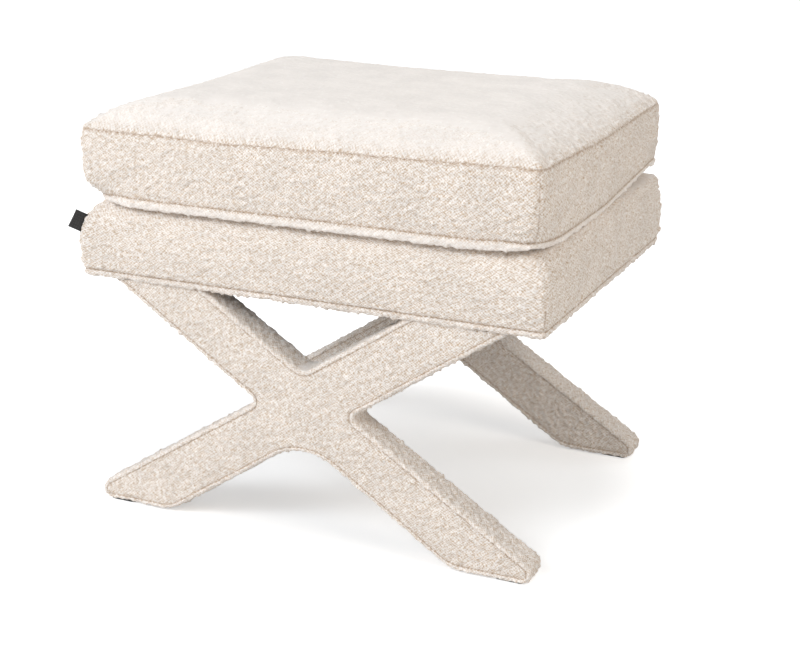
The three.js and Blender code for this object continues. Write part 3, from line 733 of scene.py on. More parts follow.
def frame_ring(inset, step=3.0):
    """One closed ring of points round the X at an inset, and where each corner's run starts."""
    runs = outline(X_CORNERS, inset, step)
    first = outline(X_CORNERS, 0.0, step)
    points, starts = [], []
    for i, run in enumerate(runs):
        after = (i + 1) % len(runs)
        gap = np.linalg.norm(first[after][0] - first[i][-1])
        parts = max(1, round(gap / step))
        starts.append(sum(len(p) for p in points))
        points.append(run)
        share_along = np.arange(1, parts)[:, None] / parts
        points.append(run[-1] + (runs[after][0] - run[-1]) * share_along)
    return np.concatenate(points), starts


def bar_shape(rings):
    """A small six-sided bar along its first axis, from the (place, width) of each ring: points and faces."""
    turn = np.linspace(0, 2 * math.pi, 6, endpoint=False)
    points = np.array([(u, w * math.cos(t), w * math.sin(t)) for u, w in rings for t in turn])
    end = np.array([[0, 1, 2, 3], [0, 3, 4, 5]])
    return points, np.concatenate([grid_quads(len(rings), 6, wrap=True), end[:, ::-1], end + len(points) - 6])


def copied(faces, count, size):
    """The faces of a shape of size points, for each of count copies."""
    return (faces[None] + (np.arange(count) * size)[:, None, None]).reshape(-1, 4)


def stitch_row(path, outward, scene, seed):
    """Threads that show along a path: points and faces of many small rounded stitches."""
    s = scene.stool_cloth
    pitch, long, thick, rise = s.stitch_pitch / MM, s.stitch_length / MM, 0.4, 0.3
    rng = np.random.default_rng(seed)
    along = lengths_along(path)
    count = max(1, int(along[-1] / pitch))
    at = (np.arange(count) + 0.5 + rng.uniform(-0.12, 0.12, count)) * along[-1] / count

    def taken(line, shift=0.0):
        return np.stack([np.interp(at + shift, along, line[:, k]) for k in range(3)], 1)

    run = unit(taken(path, 1.5) - taken(path, -1.5))
    out = taken(outward)
    out = unit(out - run * (out * run).sum(1)[:, None])
    side = np.cross(run, out)
    shape, faces = bar_shape(((-1, 0.25), (-0.7, 0.85), (0, 1.0), (0.7, 0.85), (1, 0.25)))
    size = long / 2 * rng.uniform(0.8, 1.15, count)
    wide = thick * rng.uniform(0.85, 1.15, count)
    arch = (1 - shape[:, 0] ** 2) * rise
    points = (taken(path)[:, None] + run[:, None] * (shape[:, 0] * size[:, None])[..., None]
              + out[:, None] * (shape[:, 1] * wide[:, None] + arch)[..., None]
              + side[:, None] * (shape[:, 2] * wide[:, None])[..., None])
    return points.reshape(-1, 3), copied(faces, count, len(shape))


def joined(parts):
    """Several (points, faces) as one."""
    points, faces, base = [], [], 0
    for p, f in parts:
        points.append(p)
        faces.append(np.asarray(f) + base)
        base += len(p)
    return np.concatenate(points), np.concatenate(faces)


def cloth_slab(x_lines, y_lines, height, thickness):
    """A closed thin sheet over a grid: points, faces and cloth places; height(x, y) is its underside."""
    y, x = [a.ravel() for a in np.meshgrid(y_lines, x_lines, indexing="ij")]
    nx, ny = len(x_lines), len(y_lines)
    low = np.stack([x, y, height(x, y)], 1)
    high = low + [0, 0, thickness]
    quads = grid_quads(ny, nx)
    edge = grid_edge(nx, ny)
    after = np.roll(edge, -1)
    rim = np.stack([edge, after, after + nx * ny, edge + nx * ny], 1)
    return (np.concatenate([low, high]), np.concatenate([quads[:, ::-1], quads + nx * ny, rim]),
            np.concatenate([low[:, :2], low[:, :2]]))


def ring_path(half, out, corner, z):
    """A closed level path round a rounded rectangle, with its outward direction."""
    step = 3.0
    side = [np.linspace(-1, 1, round(2 * h / step) + 1)[:-1] for h in half]
    p = np.concatenate([side[0], np.ones(len(side[1])), -side[0], -np.ones(len(side[1]))])
    q = np.concatenate([-np.ones(len(side[0])), side[1], np.ones(len(side[0])), -side[1]])
    x, y = rounded(np.append(p, p[0]), np.append(q, q[0]), half[0] + out, half[1] + out, corner)
    path = np.stack([x, y, np.full(len(x), z)], 1)
    return path, outward_of(path)


def beads(centres, size):
    """Small rounded bars along Z at centres, with half their extent along X, Y and Z given by size."""
    shape, faces = bar_shape(((-1, 0.35), (-0.75, 0.9), (0.75, 0.9), (1, 0.35)))
    points = centres[:, None] + shape[None][..., [1, 2, 0]] * np.asarray(size)
    return points.reshape(-1, 3), copied(faces, len(centres), len(shape))


def inflate(form, held, pressure, limit):
    """Lets the filling press on the cover, and moves its points by what that gives, up to limit."""
    scene = bpy.context.scene
    mesh = bpy.data.meshes.new("cover_in_work")
    mesh.from_pydata((form["points"] * MM).tolist(), [], form["quads"].tolist())
    cover = bpy.data.objects.new("cover_in_work", mesh)
    scene.collection.objects.link(cover)
    sewn = cover.vertex_groups.new(name="sewn")
    for level in np.unique(held):
        sewn.add(np.flatnonzero(held == level).tolist(), float(level), "REPLACE")
    cloth = cover.modifiers.new("filling", "CLOTH")
    cloth.settings.quality = 5
    cloth.settings.mass = 0.4
    cloth.settings.tension_stiffness = cloth.settings.compression_stiffness = 25
    cloth.settings.shear_stiffness = 12
    cloth.settings.bending_stiffness = 3
    cloth.settings.vertex_group_mass = "sewn"
    cloth.settings.use_pressure = True
    cloth.settings.uniform_pressure_force = pressure
    cloth.settings.effector_weights.gravity = 0
    cloth.collision_settings.use_collision = False
    frames = 20
    cloth.point_cache.frame_start, cloth.point_cache.frame_end = 1, frames
    for number in range(1, frames + 1):
        scene.frame_set(number)
    shaped = cover.evaluated_get(bpy.context.evaluated_depsgraph_get()).data
    moved = np.zeros(len(shaped.vertices) * 3)
    shaped.vertices.foreach_get("co", moved)
    shift = moved.reshape(-1, 3) / MM - form["points"]
    scene.frame_set(1)
    bpy.data.objects.remove(cover)
    bpy.data.meshes.remove(mesh)
    far = np.linalg.norm(shift, axis=1)
    if not np.isfinite(far).all():
        raise RuntimeError("the cushion's cloth simulation did not settle")
    form["points"] = form["points"] + shift * (limit * np.tanh(far / limit) / np.maximum(far, 1e-9))[:, None]


def dress_nodes(names, material, bevel_mm=0.0):
    """Gives CAD nodes a finish, and eases their sharp edges where a bevel is named."""
    for name in names:
        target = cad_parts[name]
        if not target.material_slots:
            target.data.materials.append(material)
        for held in target.material_slots:
            held.material = material
        if bevel_mm:
            weld = target.modifiers.new("weld", "WELD")
            weld.merge_threshold = 0.00002
            ease = target.modifiers.new("ease", "BEVEL")
            ease.width, ease.segments = bevel_mm * MM, 2
            ease.limit_method, ease.angle_limit = "ANGLE", math.radians(40)


def cloth_of(scene):
    """The boucle that all covers are cut from."""
    return bpy.data.materials.get("boucle_woven") or boucle_cloth(scene)


def thread_of(scene):
    """The thread that all covers are sewn with."""
    return bpy.data.materials.get("polyester_thread_twisted") or sewing_thread(scene)


# Pieces

# The rows of points down the cushion's sides. The zip's slot lies between two of them.
SLOT_HIGH, SLOT_LOW = ZIP_Z + ZIP_SLOT / 2, ZIP_Z - ZIP_SLOT / 2
CUSHION_HEIGHTS = [486.0, 480.0, 473.0, 466.0, 459.0, 453.0, SLOT_HIGH,
                   SLOT_LOW, 434.0, 427.0, 421.0, 416.0, 411.4]
PANEL_CORNER = 18.0

# The welt from the bottom seam down, and the bottom panel's edge behind it, as (step out, height).
WELT_SECTION = (
    (WELT_OUT - 0.7, CUSHION_LOW + WELT_HEIGHT), (WELT_OUT + 0.2, CUSHION_LOW + WELT_HEIGHT - 1.8),
    (WELT_OUT + 0.9, CUSHION_LOW + WELT_HEIGHT - 5.0), (WELT_OUT + 1.0, CUSHION_LOW + 1.6),
    (WELT_OUT + 0.1, CUSHION_LOW - 1.2), (WELT_OUT - 2.0, CUSHION_LOW - 2.4),
    (1.2 - PANEL_IN, CUSHION_LOW - 0.8), (-PANEL_IN, CUSHION_LOW + 1.6),
)

# The name of each panel's piece, and of the CAD node that it stands for.
CUSHION_PANELS = {
    TOP: ("cushion_top_cloth", "cushion_top_panel"),
    FRONT: ("cushion_front_cloth", "front_boxing"),
    RIGHT: ("cushion_right_cloth", "right_boxing"),
    REAR: ("cushion_rear_upper_cloth", "rear_boxing_upper"),
    LEFT: ("cushion_left_cloth", "left_boxing"),
    UNDER: ("cushion_bottom_cloth", "cushion_bottom_panel"),
    REAR_LOW: ("cushion_rear_lower_cloth", "rear_boxing_lower"),
}


def eased(value, start, end):
    """0 at start, 1 at end, and smooth between them."""
    part = np.clip((value - start) / (end - start), 0, 1)
    return part * part * (3 - 2 * part)


def settle_cushion(points):
    """Lets the cushion lie as a soft one does.

    The rear right edge lifts off the deck, the lower corners round off, most at the front left,
    the bottom seam hides under the sides, the top seam sags where the filling is thinner, and the
    crown is fuller at the left corners.
    """
    x, y, z = points.T.copy()

    def corner(side_x, side_y, reach):
        away = np.hypot(x - side_x * CUSHION_HALF[0], y - side_y * CUSHION_HALF[1])
        return np.exp(-(away / reach) ** 2)

    # The rear right edge rises by up to 16 mm, and the other lower corners by a few.
    low = eased(z, CUSHION_LOW + 50, CUSHION_LOW + 8)
    lift = np.clip(0.085 * y, 0, 16) * eased(x, 170, 280)
    lift += 5 * corner(1, -1, 45) + 2.5 * corner(-1, -1, 45) + 6 * corner(-1, 1, 70)
    at_sides = np.exp(-((z - CUSHION_LOW - WELT_HEIGHT) / 5) ** 2) * eased(np.abs(x), 245, 285)
    # The top seam sags by some 3 mm along the front and the right side, and rises at their far ends.
    high = eased(z, CUSHION_SEAM - 35, CUSHION_SEAM - 5)
    front = np.exp(-np.abs(y + CUSHION_HALF[1]) / 60)
    right = np.exp(-np.abs(x - CUSHION_HALF[0]) / 60)
    sag = front * (3.4 * np.exp(-((x + 100) / 110) ** 2) - 2.2 * eased(x, 120, 240))
    sag += right * (3.0 * np.exp(-((y + 30) / 90) ** 2) - 2.0 * eased(y, 90, 200)) + 1.5 * corner(-1, -1, 75)
    crown = eased(z, CUSHION_SEAM + 8, CUSHION_SEAM + 30)
    fuller = 5.0 * corner(-1, 1, 170) + 2.0 * corner(-1, -1, 120)
    points[:, 2] += low * lift - 4.2 * at_sides - high * sag + crown * fuller
    # Three lower corners are drawn inwards.
    pull = np.clip((424 - z) / 17, 0, 1) ** 1.5 * DIAGONAL
    for side_x, side_y, most in ((-1, -1, 19.0), (1, -1, 7.0), (-1, 1, 11.0)):
        inwards = pull * most * corner(side_x, side_y, 38)
        points[:, 0] -= side_x * inwards
        points[:, 1] -= side_y * inwards


def cushion_form(scene, crown, swell, step):
    """The cushion's cover before it is split, and the number of the row of the bottom seam."""
    depth = scene.stool_cloth.seam_depth / MM
    rows = [(CUSHION_SEAM_OUT - depth, CUSHION_SEAM, CUSHION_CORNER, "top"),
            (CUSHION_SEAM_OUT + 0.2, CUSHION_SEAM - 1.5, CUSHION_CORNER, "side")]
    for z in CUSHION_HEIGHTS:
        part = (CUSHION_SEAM - z) / (CUSHION_SEAM - CUSHION_LOW - WELT_HEIGHT - 1.6)
        full = math.sin(part * math.pi) ** 0.8
        kind = "slot" if z == SLOT_LOW else "side" if z > ZIP_Z else "lower"
        out = swell * full + WELT_OUT * part + CUSHION_SEAM_OUT * (1 - part)
        round_in = max(0.0, part - 0.7) / 0.3
        corner = CUSHION_CORNER + (CUSHION_SIDE_CORNER - CUSHION_CORNER) * full
        corner += (CUSHION_LOW_CORNER - CUSHION_SIDE_CORNER) * round_in ** 2
        rows.append((out, z, corner, kind))
    stitch_row_at = len(rows)
    for out, z in WELT_SECTION:
        rows.append((out, z, CUSHION_LOW_CORNER if out > 0 else PANEL_CORNER, "lower"))
    rows.append((-PANEL_IN - 1.4, CUSHION_LOW + 0.2, PANEL_CORNER, "under"))

    def top(x, y):
        part = ring_share(x, y, CUSHION_HALF, lambda m: CUSHION_CORNER + CROWN_CORNER * (1 - m))
        return CUSHION_SEAM + 1.2 + (crown - 1.2) * (1 - part ** CROWN_POWER)

    form = boxed_form(CUSHION_HALF, step, top, rows)
    spread = 1 + (CUSHION_SEAM_OUT - 0.4) / np.array(CUSHION_HALF)
    form["points"][:form["top"], :2] *= spread
    corner_seams(form, depth, 1, stitch_row_at + 3)
    # The top and bottom seams are painted brownish: pressed pile and painted shade in their creases.
    mark_row(form, "seam", 0, 0.5)
    mark_row(form, "seam", stitch_row_at, 0.1, 0.7)
    # Painted highlight: the top's crown is marked as rolled, so its gaps close and it comes out lighter and
    # smoother.
    risen = (form["points"][:form["top"], 2] - CUSHION_SEAM - 2) / 12
    form["marks"]["rolled"][:form["top"]] = np.clip(risen, 0, 1)
    # The welt below the bottom seam rolls out: its pile lies smoother, and its lighter tone is partly a
    # painted highlight where it faces up.
    for row in range(stitch_row_at + 2, stitch_row_at + 7):
        mark_row(form, "rolled", row, most=0.8)
    settle_cushion(form["points"])
    return form, stitch_row_at


def rear_of(form):
    """The places in a row of the points along the back, with both corners."""
    return slice(form["corner_at"][2], form["corner_at"][3] + 1)


def taper_slot(form, upper, lower):
    """Closes the zip's slot beyond the ends of the zip."""
    for row, sign in ((upper, 1), (lower, -1)):
        at = row_of(form, row)[rear_of(form)]
        x = np.abs(form["points"][at, 0])
        open_part = np.clip((ZIP_HALF_X + 4 - x) / 8, 0, 1)
        form["points"][at, 2] = ZIP_Z + sign * (0.15 + (ZIP_SLOT / 2 - 0.15) * open_part)


def folded_hem(points, quads, flat, marks, edge, lift):
    """Folds the cloth in behind an edge, which is given as point numbers in order along X."""
    inner = points[edge] + [0, -3.4, lift]
    new = len(points) + np.arange(len(edge))
    strip = np.stack([edge[:-1], new[:-1], new[1:], edge[1:]], 1)
    if lift < 0:
        strip = strip[:, ::-1]
    points = np.concatenate([points, inner])
    flat = np.concatenate([flat, points[strip][:, :, [0, 2]].reshape(-1, 2)])
    marks = {mark: np.append(values, np.zeros(len(edge))) for mark, values in marks.items()}
    return points, np.concatenate([quads, strip]), flat, marks


class STOOL_OT_cushion(bpy.types.Operator):
    """Sews the boxed cushion cover, lets its filling swell it and splits it into its panels"""
    bl_idname = "stool.cushion"
    bl_label = "Cushion cover"

    def execute(self, context):
        scene = context.scene
        settings = scene.stool_cushion
        swelling = settings.swelling / MM
        form, stitch_at = cushion_form(
            scene, CUSHION_CROWN - 0.9 * swelling, CUSHION_SWELL - 0.6 * swelling, step=7.5)
        points = form["points"]
        sewn = np.abs(points[:, 2] - CUSHION_SEAM) < 3
        sewn |= points[:, 2] < CUSHION_LOW + WELT_HEIGHT + 2
        for corner in form["corner_at"]:
            for step in (-1, 0, 1):
                column = (corner + step) % form["count"]
                sewn[form["top"] + column::form["count"]] = True
        inflate(form, np.where(sewn, 1.0, 0.0), settings.pressure, swelling)
        upper = 2 + CUSHION_HEIGHTS.index(SLOT_HIGH)
        back = rear_of(form)
        taper_slot(form, upper, upper + 1)
        self.add_pucker(form, settings.pucker / MM)

        cloth, thread = cloth_of(scene), thread_of(scene)
        for panel, (name, cad_node) in CUSHION_PANELS.items():
            points, quads, flat, marks, used = part_of(form, form["panels"] == panel)
            if panel in (REAR, REAR_LOW):
                at = row_of(form, upper if panel == REAR else upper + 1)[back]
                edge = np.searchsorted(used, at)
                edge = edge[np.argsort(points[edge, 0])]
                points, quads, flat, marks = folded_hem(
                    points, quads, flat, marks, edge, 0.8 if panel == REAR else -0.8)
            made = piece(name, points, quads, cloth, "cushion", "boucle", flat, marks)
            refine(made, 2)
            push_out(made, pile(scene))
            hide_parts(cad_node)

        path = form["points"][np.append(row_of(form, stitch_at), row_of(form, stitch_at)[0])]
        out = unit(outward_of(path))
        rows = [stitch_row(path + 0.8 * out, out, scene, 3)]
        for row, seed in ((upper - 1, 5), (upper + 2, 6)):
            path = form["points"][row_of(form, row)[back]][2:-2] + [0, 0.1, 0]
            rows.append(stitch_row(path, np.tile([0.0, 1.0, 0.0], (len(path), 1)), scene, seed))
        piece("cushion_stitches", *joined(rows), thread, "cushion", "boucle")
        return {"FINISHED"}

    @staticmethod
    def add_pucker(form, depth):
        """Small waves across the seams, strongest where the cloth is sewn down."""
        points = form["points"]
        near = np.exp(-np.abs(points[:, 2] - CUSHION_SEAM) / 9) + 0.7 * np.exp(
            -np.abs(points[:, 2] - CUSHION_LOW - WELT_HEIGHT) / 7)
        flat_places = points * [1, 1, 0.35]
        wave = noise(flat_places, 13.0, 21) * near * depth
        centre = np.hypot(points[:, 0], points[:, 1])
        upright = np.clip((points[:, 2] - CUSHION_LOW - 2) / 4, 0, 1)
        border = 30.0
        outer = (np.abs(points[:, :2]) - CUSHION_HALF).max(1) + border
        form["points"][:, :2] += points[:, :2] / np.maximum(centre, 1)[:, None] * (wave * upright)[:, None]
        ripple = noise(points * [1, 1, 0], 17.0, 23) * np.exp(-np.abs(points[:, 2] - CUSHION_SEAM) / 14)
        form["points"][:, 2] += ripple * depth * np.clip(outer / border, 0, 1)


class STOOL_OT_zip(bpy.types.Operator):
    """Adds the woven tape and the coil of the zip, and finishes its slider and pull"""
    bl_idname = "stool.zip"
    bl_label = "Zip"

    def execute(self, context):
        count = round(2 * ZIP_HALF_X / 7)
        slab, faces, flat = cloth_slab(
            np.linspace(-ZIP_HALF_X, ZIP_HALF_X, count), np.linspace(-TAPE_WIDTH / 2, TAPE_WIDTH / 2, 7),
            lambda x, y: 0.12 * np.sin(x / 9.0) * (np.abs(y) / 8) ** 2, 0.7)
        points = np.stack([slab[:, 0], ZIP_Y - 0.85 + slab[:, 2], ZIP_Z + slab[:, 1]], 1)
        woven = woven_tape("polyester_tape_woven", "#e6dbcb", "#bfb09c", 0.7)
        tape = piece("zip_tape_cloth", points, faces[:, ::-1], woven, "cushion", "zip_tape", flat)
        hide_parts("zip_tape")
        # Each coil turn is 1.1 mm thick, and the two sides lie half a turn apart.
        pitch = 1.6
        places = np.arange(-ZIP_HALF_X + 1.5, ZIP_HALF_X - 1.5, pitch)
        parts = []
        for side, shift in ((1, 0.0), (-1, pitch / 2)):
            centres = np.stack([places + shift, np.full(len(places), ZIP_Y + 1.8),
                                np.full(len(places), ZIP_Z + side * 0.95)], 1)
            parts.append(beads(centres, (0.58, 1.35, 1.7)))
            cord_points = np.stack([places, np.full(len(places), ZIP_Y + 1.3),
                                    np.full(len(places), ZIP_Z + side * 2.3)], 1)
            parts.append(beads(cord_points, (0.95, 0.8, 0.5)))
        plastic = moulded_plastic("polyester_coil_extruded", "#e0d5c4", "#c4b6a2", 0.4)
        coil = piece("zip_coil", *joined(parts), plastic, "cushion", "zip_teeth")
        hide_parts("zip_chain")
        nickel = plated_metal("zinc_die_cast_nickel_plated", "#cfcabf", "#a8a399", 0.24, 240.0)
        dress_nodes(["zip_slider", "zip_pull"], nickel, 0.35)
        return {"FINISHED"}


# The rows of points down the deck's sides, as the height and how far the stitched hem draws it in.
DECK_SIDE_ROWS = (
    (346.5, 0), (340, 0), (333.5, 0), (327, 0), (321, 0), (316.6, -0.3), (313.9, 0.1),
    (DECK_LOW + HEM_STITCH, 1.3), (310.3, 0.0), (308, -0.6), (305.6, -0.5), (304.1, 0.5),
)


class STOOL_OT_deck(bpy.types.Operator):
    """Pulls the cover over the seat frame, with its stitched hem and corner seams"""
    bl_idname = "stool.deck"
    bl_label = "Deck cover"

    def execute(self, context):
        scene = context.scene
        depth = scene.stool_cloth.seam_depth / MM
        run_in = DECK_EDGE_RUN - DECK_SWELL
        flat_half = (DECK_HALF[0] - run_in, DECK_HALF[1] - run_in)
        rise = DECK_TOP - DECK_SHOULDER

        rows = []
        for part in np.linspace(0.92, 0.0, 12):
            run = 1 - math.cos(part * math.pi / 2)
            corner = DECK_SHOULDER_CORNER + (DECK_TOP_CORNER - DECK_SHOULDER_CORNER) * run
            height = DECK_SHOULDER + rise * math.sin(part * math.pi / 2)
            rows.append((DECK_SWELL - DECK_EDGE_RUN * run, height, max(corner, DECK_SHOULDER_CORNER)))
        seam_from = len(rows)
        for z, groove in DECK_SIDE_ROWS:
            part = (z - DECK_LOW) / (DECK_SHOULDER - DECK_LOW)
            rows.append((DECK_SWELL * math.sin(part * math.pi / 2) + 1.2 * (1 - part) - groove, z,
                         DECK_HEM_CORNER + (DECK_SHOULDER_CORNER - DECK_HEM_CORNER) * part))
        rows += [(-1.0, DECK_LOW, DECK_HEM_CORNER), (-9.0, DECK_LOW + 0.2, DECK_HEM_CORNER),
                 (-HEM_LIP, DECK_LOW + 0.2, DECK_HEM_CORNER), (-HEM_LIP, DECK_LOW + 1.8, DECK_HEM_CORNER)]
        rows = [(out + run_in, z, corner, "side") for out, z, corner in rows]
        form = boxed_form(flat_half, 7.5, lambda x, y: np.full(len(x), DECK_TOP), rows, bottom=False)
        self.square_shoulder(form["points"], rise)
        hem_row = seam_from + 7
        corner_seams(form, 0.75 * depth, seam_from, seam_from + 11)
        # The hem's stitching is painted brownish: pressed pile and painted shade in its crease.
        mark_row(form, "seam", hem_row, 0.1, 0.8)
        # Below the stitched hem the cloth rolls under: its pile lies smoother, and its lighter tone is partly
        # a painted highlight.
        for row in range(hem_row + 1, hem_row + 6):
            mark_row(form, "rolled", row, most=0.3)
        # The filling under the cover leaves soft unevenness that the straight hem holds down.
        points = form["points"]
        loose = np.clip((points[:, 2] - DECK_LOW - HEM_STITCH) / 40, 0, 1)
        outward = points[:, :2] / np.maximum(np.hypot(points[:, 0], points[:, 1]), 1)[:, None]
        form["points"][:, :2] += outward * (0.9 * noise(points, 70.0, 31) * loose)[:, None]
        near = np.exp(-np.abs(points[:, 2] - DECK_LOW - HEM_STITCH) / 8)
        form["points"][:, :2] += outward * (0.7 * noise(points * [1, 1, 0.4], 12.0, 33) * near)[:, None]

        cover = piece("deck_cloth", form["points"], form["quads"], cloth_of(scene), "base", "boucle",
                      form["flat"].reshape(-1, 2), form["marks"])
        refine(cover, 2)
        push_out(cover, pile(scene))
        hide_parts("deck_cover")

        part = HEM_STITCH / (DECK_SHOULDER - DECK_LOW)
        path, out = ring_path(DECK_HALF, DECK_SWELL * math.sin(part * math.pi / 2) + 0.5,
                              DECK_HEM_CORNER + 1, DECK_LOW + HEM_STITCH)
        piece("deck_stitches", *stitch_row(path, out, scene, 7), thread_of(scene), "base", "boucle")
        return {"FINISHED"}

    @staticmethod
    def square_shoulder(points, rise):
        """Fills the shoulder out between the corners, where the slab under the cover is at its firmest."""
        height = np.clip((points[:, 2] - DECK_SHOULDER) / rise, 0, 1)
        rear_right = np.hypot(points[:, 0] - DECK_HALF[0], points[:, 1] - DECK_HALF[1])
        bend = 3 + 5 * np.exp(-(rear_right / 110) ** 2)
        fuller = DECK_EDGE_RUN * ((1 - height ** bend) ** (1 / bend) - np.sqrt(1 - height ** 2))
        gap = [DECK_HALF[k] - np.abs(points[:, k]) for k in (0, 1)]
        for axis in (0, 1):
            side = np.sign(points[:, axis])
            reach = np.where((points[:, 0] > 0) & (points[:, 1] > 0), 14, 45)
            firm = 1 - np.exp(-(np.maximum(gap[1 - axis], 0) / reach) ** 2)
            if axis == 0:
                firm = firm * np.where(side < 0, 0.3, 1.0)
            outer = gap[axis] < DECK_EDGE_RUN + 1
            points[:, axis] += np.where(outer, side * fuller * firm, 0)


def seam_height(away, depth):
    """How far a leg's face stands out, by the distance from its seam: drawn in there, padded inside."""
    return -depth * np.exp(-away / 2.2) + 0.9 * (1 - np.exp(-away / 12.0))


def band_section(depth):
    """The section of an edge band from seam to seam, as (inset, Y)."""
    half = [(SEAM_INSET, -FRAME_HALF + depth), (4.9, -FRAME_HALF + 0.1), (3.9, -FRAME_HALF - 0.6),
            (2.6, -FRAME_HALF - 0.5), (1.3, -FRAME_HALF + 0.3), (0.4, -FRAME_HALF + 1.7),
            (-0.1, -FRAME_HALF + 4.2), (-0.35, -FRAME_HALF + 9.0)]
    middle = [(-0.45, y) for y in (-5.2, 0.0, 5.2)]
    return half + middle + [(inset, -y) for inset, y in reversed(half)]


def lies_inside(points, ring):
    """Which points lie inside a closed ring."""
    inside = np.zeros(len(points), bool)
    for a, b in zip(ring, np.roll(ring, -1, axis=0)):
        if a[1] != b[1]:
            crosses = (a[1] > points[:, 1]) != (b[1] > points[:, 1])
            inside ^= crosses & (points[:, 0] < (b[0] - a[0]) * (points[:, 1] - a[1]) / (b[1] - a[1]) + a[0])
    return inside


def face_triangles():
    """A leg frame's face inside its seam: points in XZ, triangles and distance from the seam."""
    steps_in = (0.0, 1.2, 2.6)
    rings = [frame_ring(SEAM_INSET + more)[0] for more in steps_in]
    starts = frame_ring(SEAM_INSET)[1]
    last = rings[-1]
    count = len(last)
    spacing, closest = 2.6, 1.7
    across = np.arange(-TOE_X - 2, TOE_X + 2, spacing)
    upward = np.arange(8, ARM_TOP - 1.5, spacing * 0.866)
    x, z = np.meshgrid(across, upward)
    x = x + (np.arange(len(upward)) % 2)[:, None] * spacing / 2
    inner = np.stack([x.ravel(), z.ravel()], 1)
    inner = inner[lies_inside(inner, last)]
    near = np.concatenate([
        np.sqrt(((part[:, None] - last[None]) ** 2).sum(2)).min(1) for part in np.array_split(inner, 12)])
    inner, near = inner[near > closest], near[near > closest]
    made = delaunay_2d_cdt(
        [Vector(p) for p in np.concatenate([last, inner])], [(i, (i + 1) % count) for i in range(count)],
        [], 1, 1e-5, True)
    found, triangles, origins = np.array([tuple(v) for v in made[0]]), np.array(made[2]), made[3]
    triangles = triangles[lies_inside(found[triangles].mean(1), last)]
    first = np.zeros(count, int)
    away = np.full(len(found), steps_in[-1])
    for new, old in enumerate(origins):
        for number in old:
            if number < count:
                first[number] = new
            else:
                away[new] = steps_in[-1] + near[number - count]
    points = np.concatenate([rings[0], rings[1], found])
    index = [np.arange(count), count + np.arange(count), 2 * count + first]
    # At the arms' upper ends the rings run along the same line, so no strip lies between them.
    kept = np.ones(count, bool)
    kept[starts[RIGHT_OUTER]:starts[RIGHT_INNER]] = False
    kept[starts[LEFT_INNER]:starts[LEFT_OUTER]] = False
    strips = []
    for outer, inside_ring in zip(index, index[1:]):
        a, b = outer, np.roll(outer, -1)
        c, d = np.roll(inside_ring, -1), inside_ring
        strips += [np.stack([a, b, c], 1)[kept], np.stack([a, c, d], 1)[kept]]
    triangles = np.concatenate(strips + [triangles + 2 * count])
    away = np.concatenate([np.full(count, steps_in[0]), np.full(count, steps_in[1]), away])
    return points, triangles, away


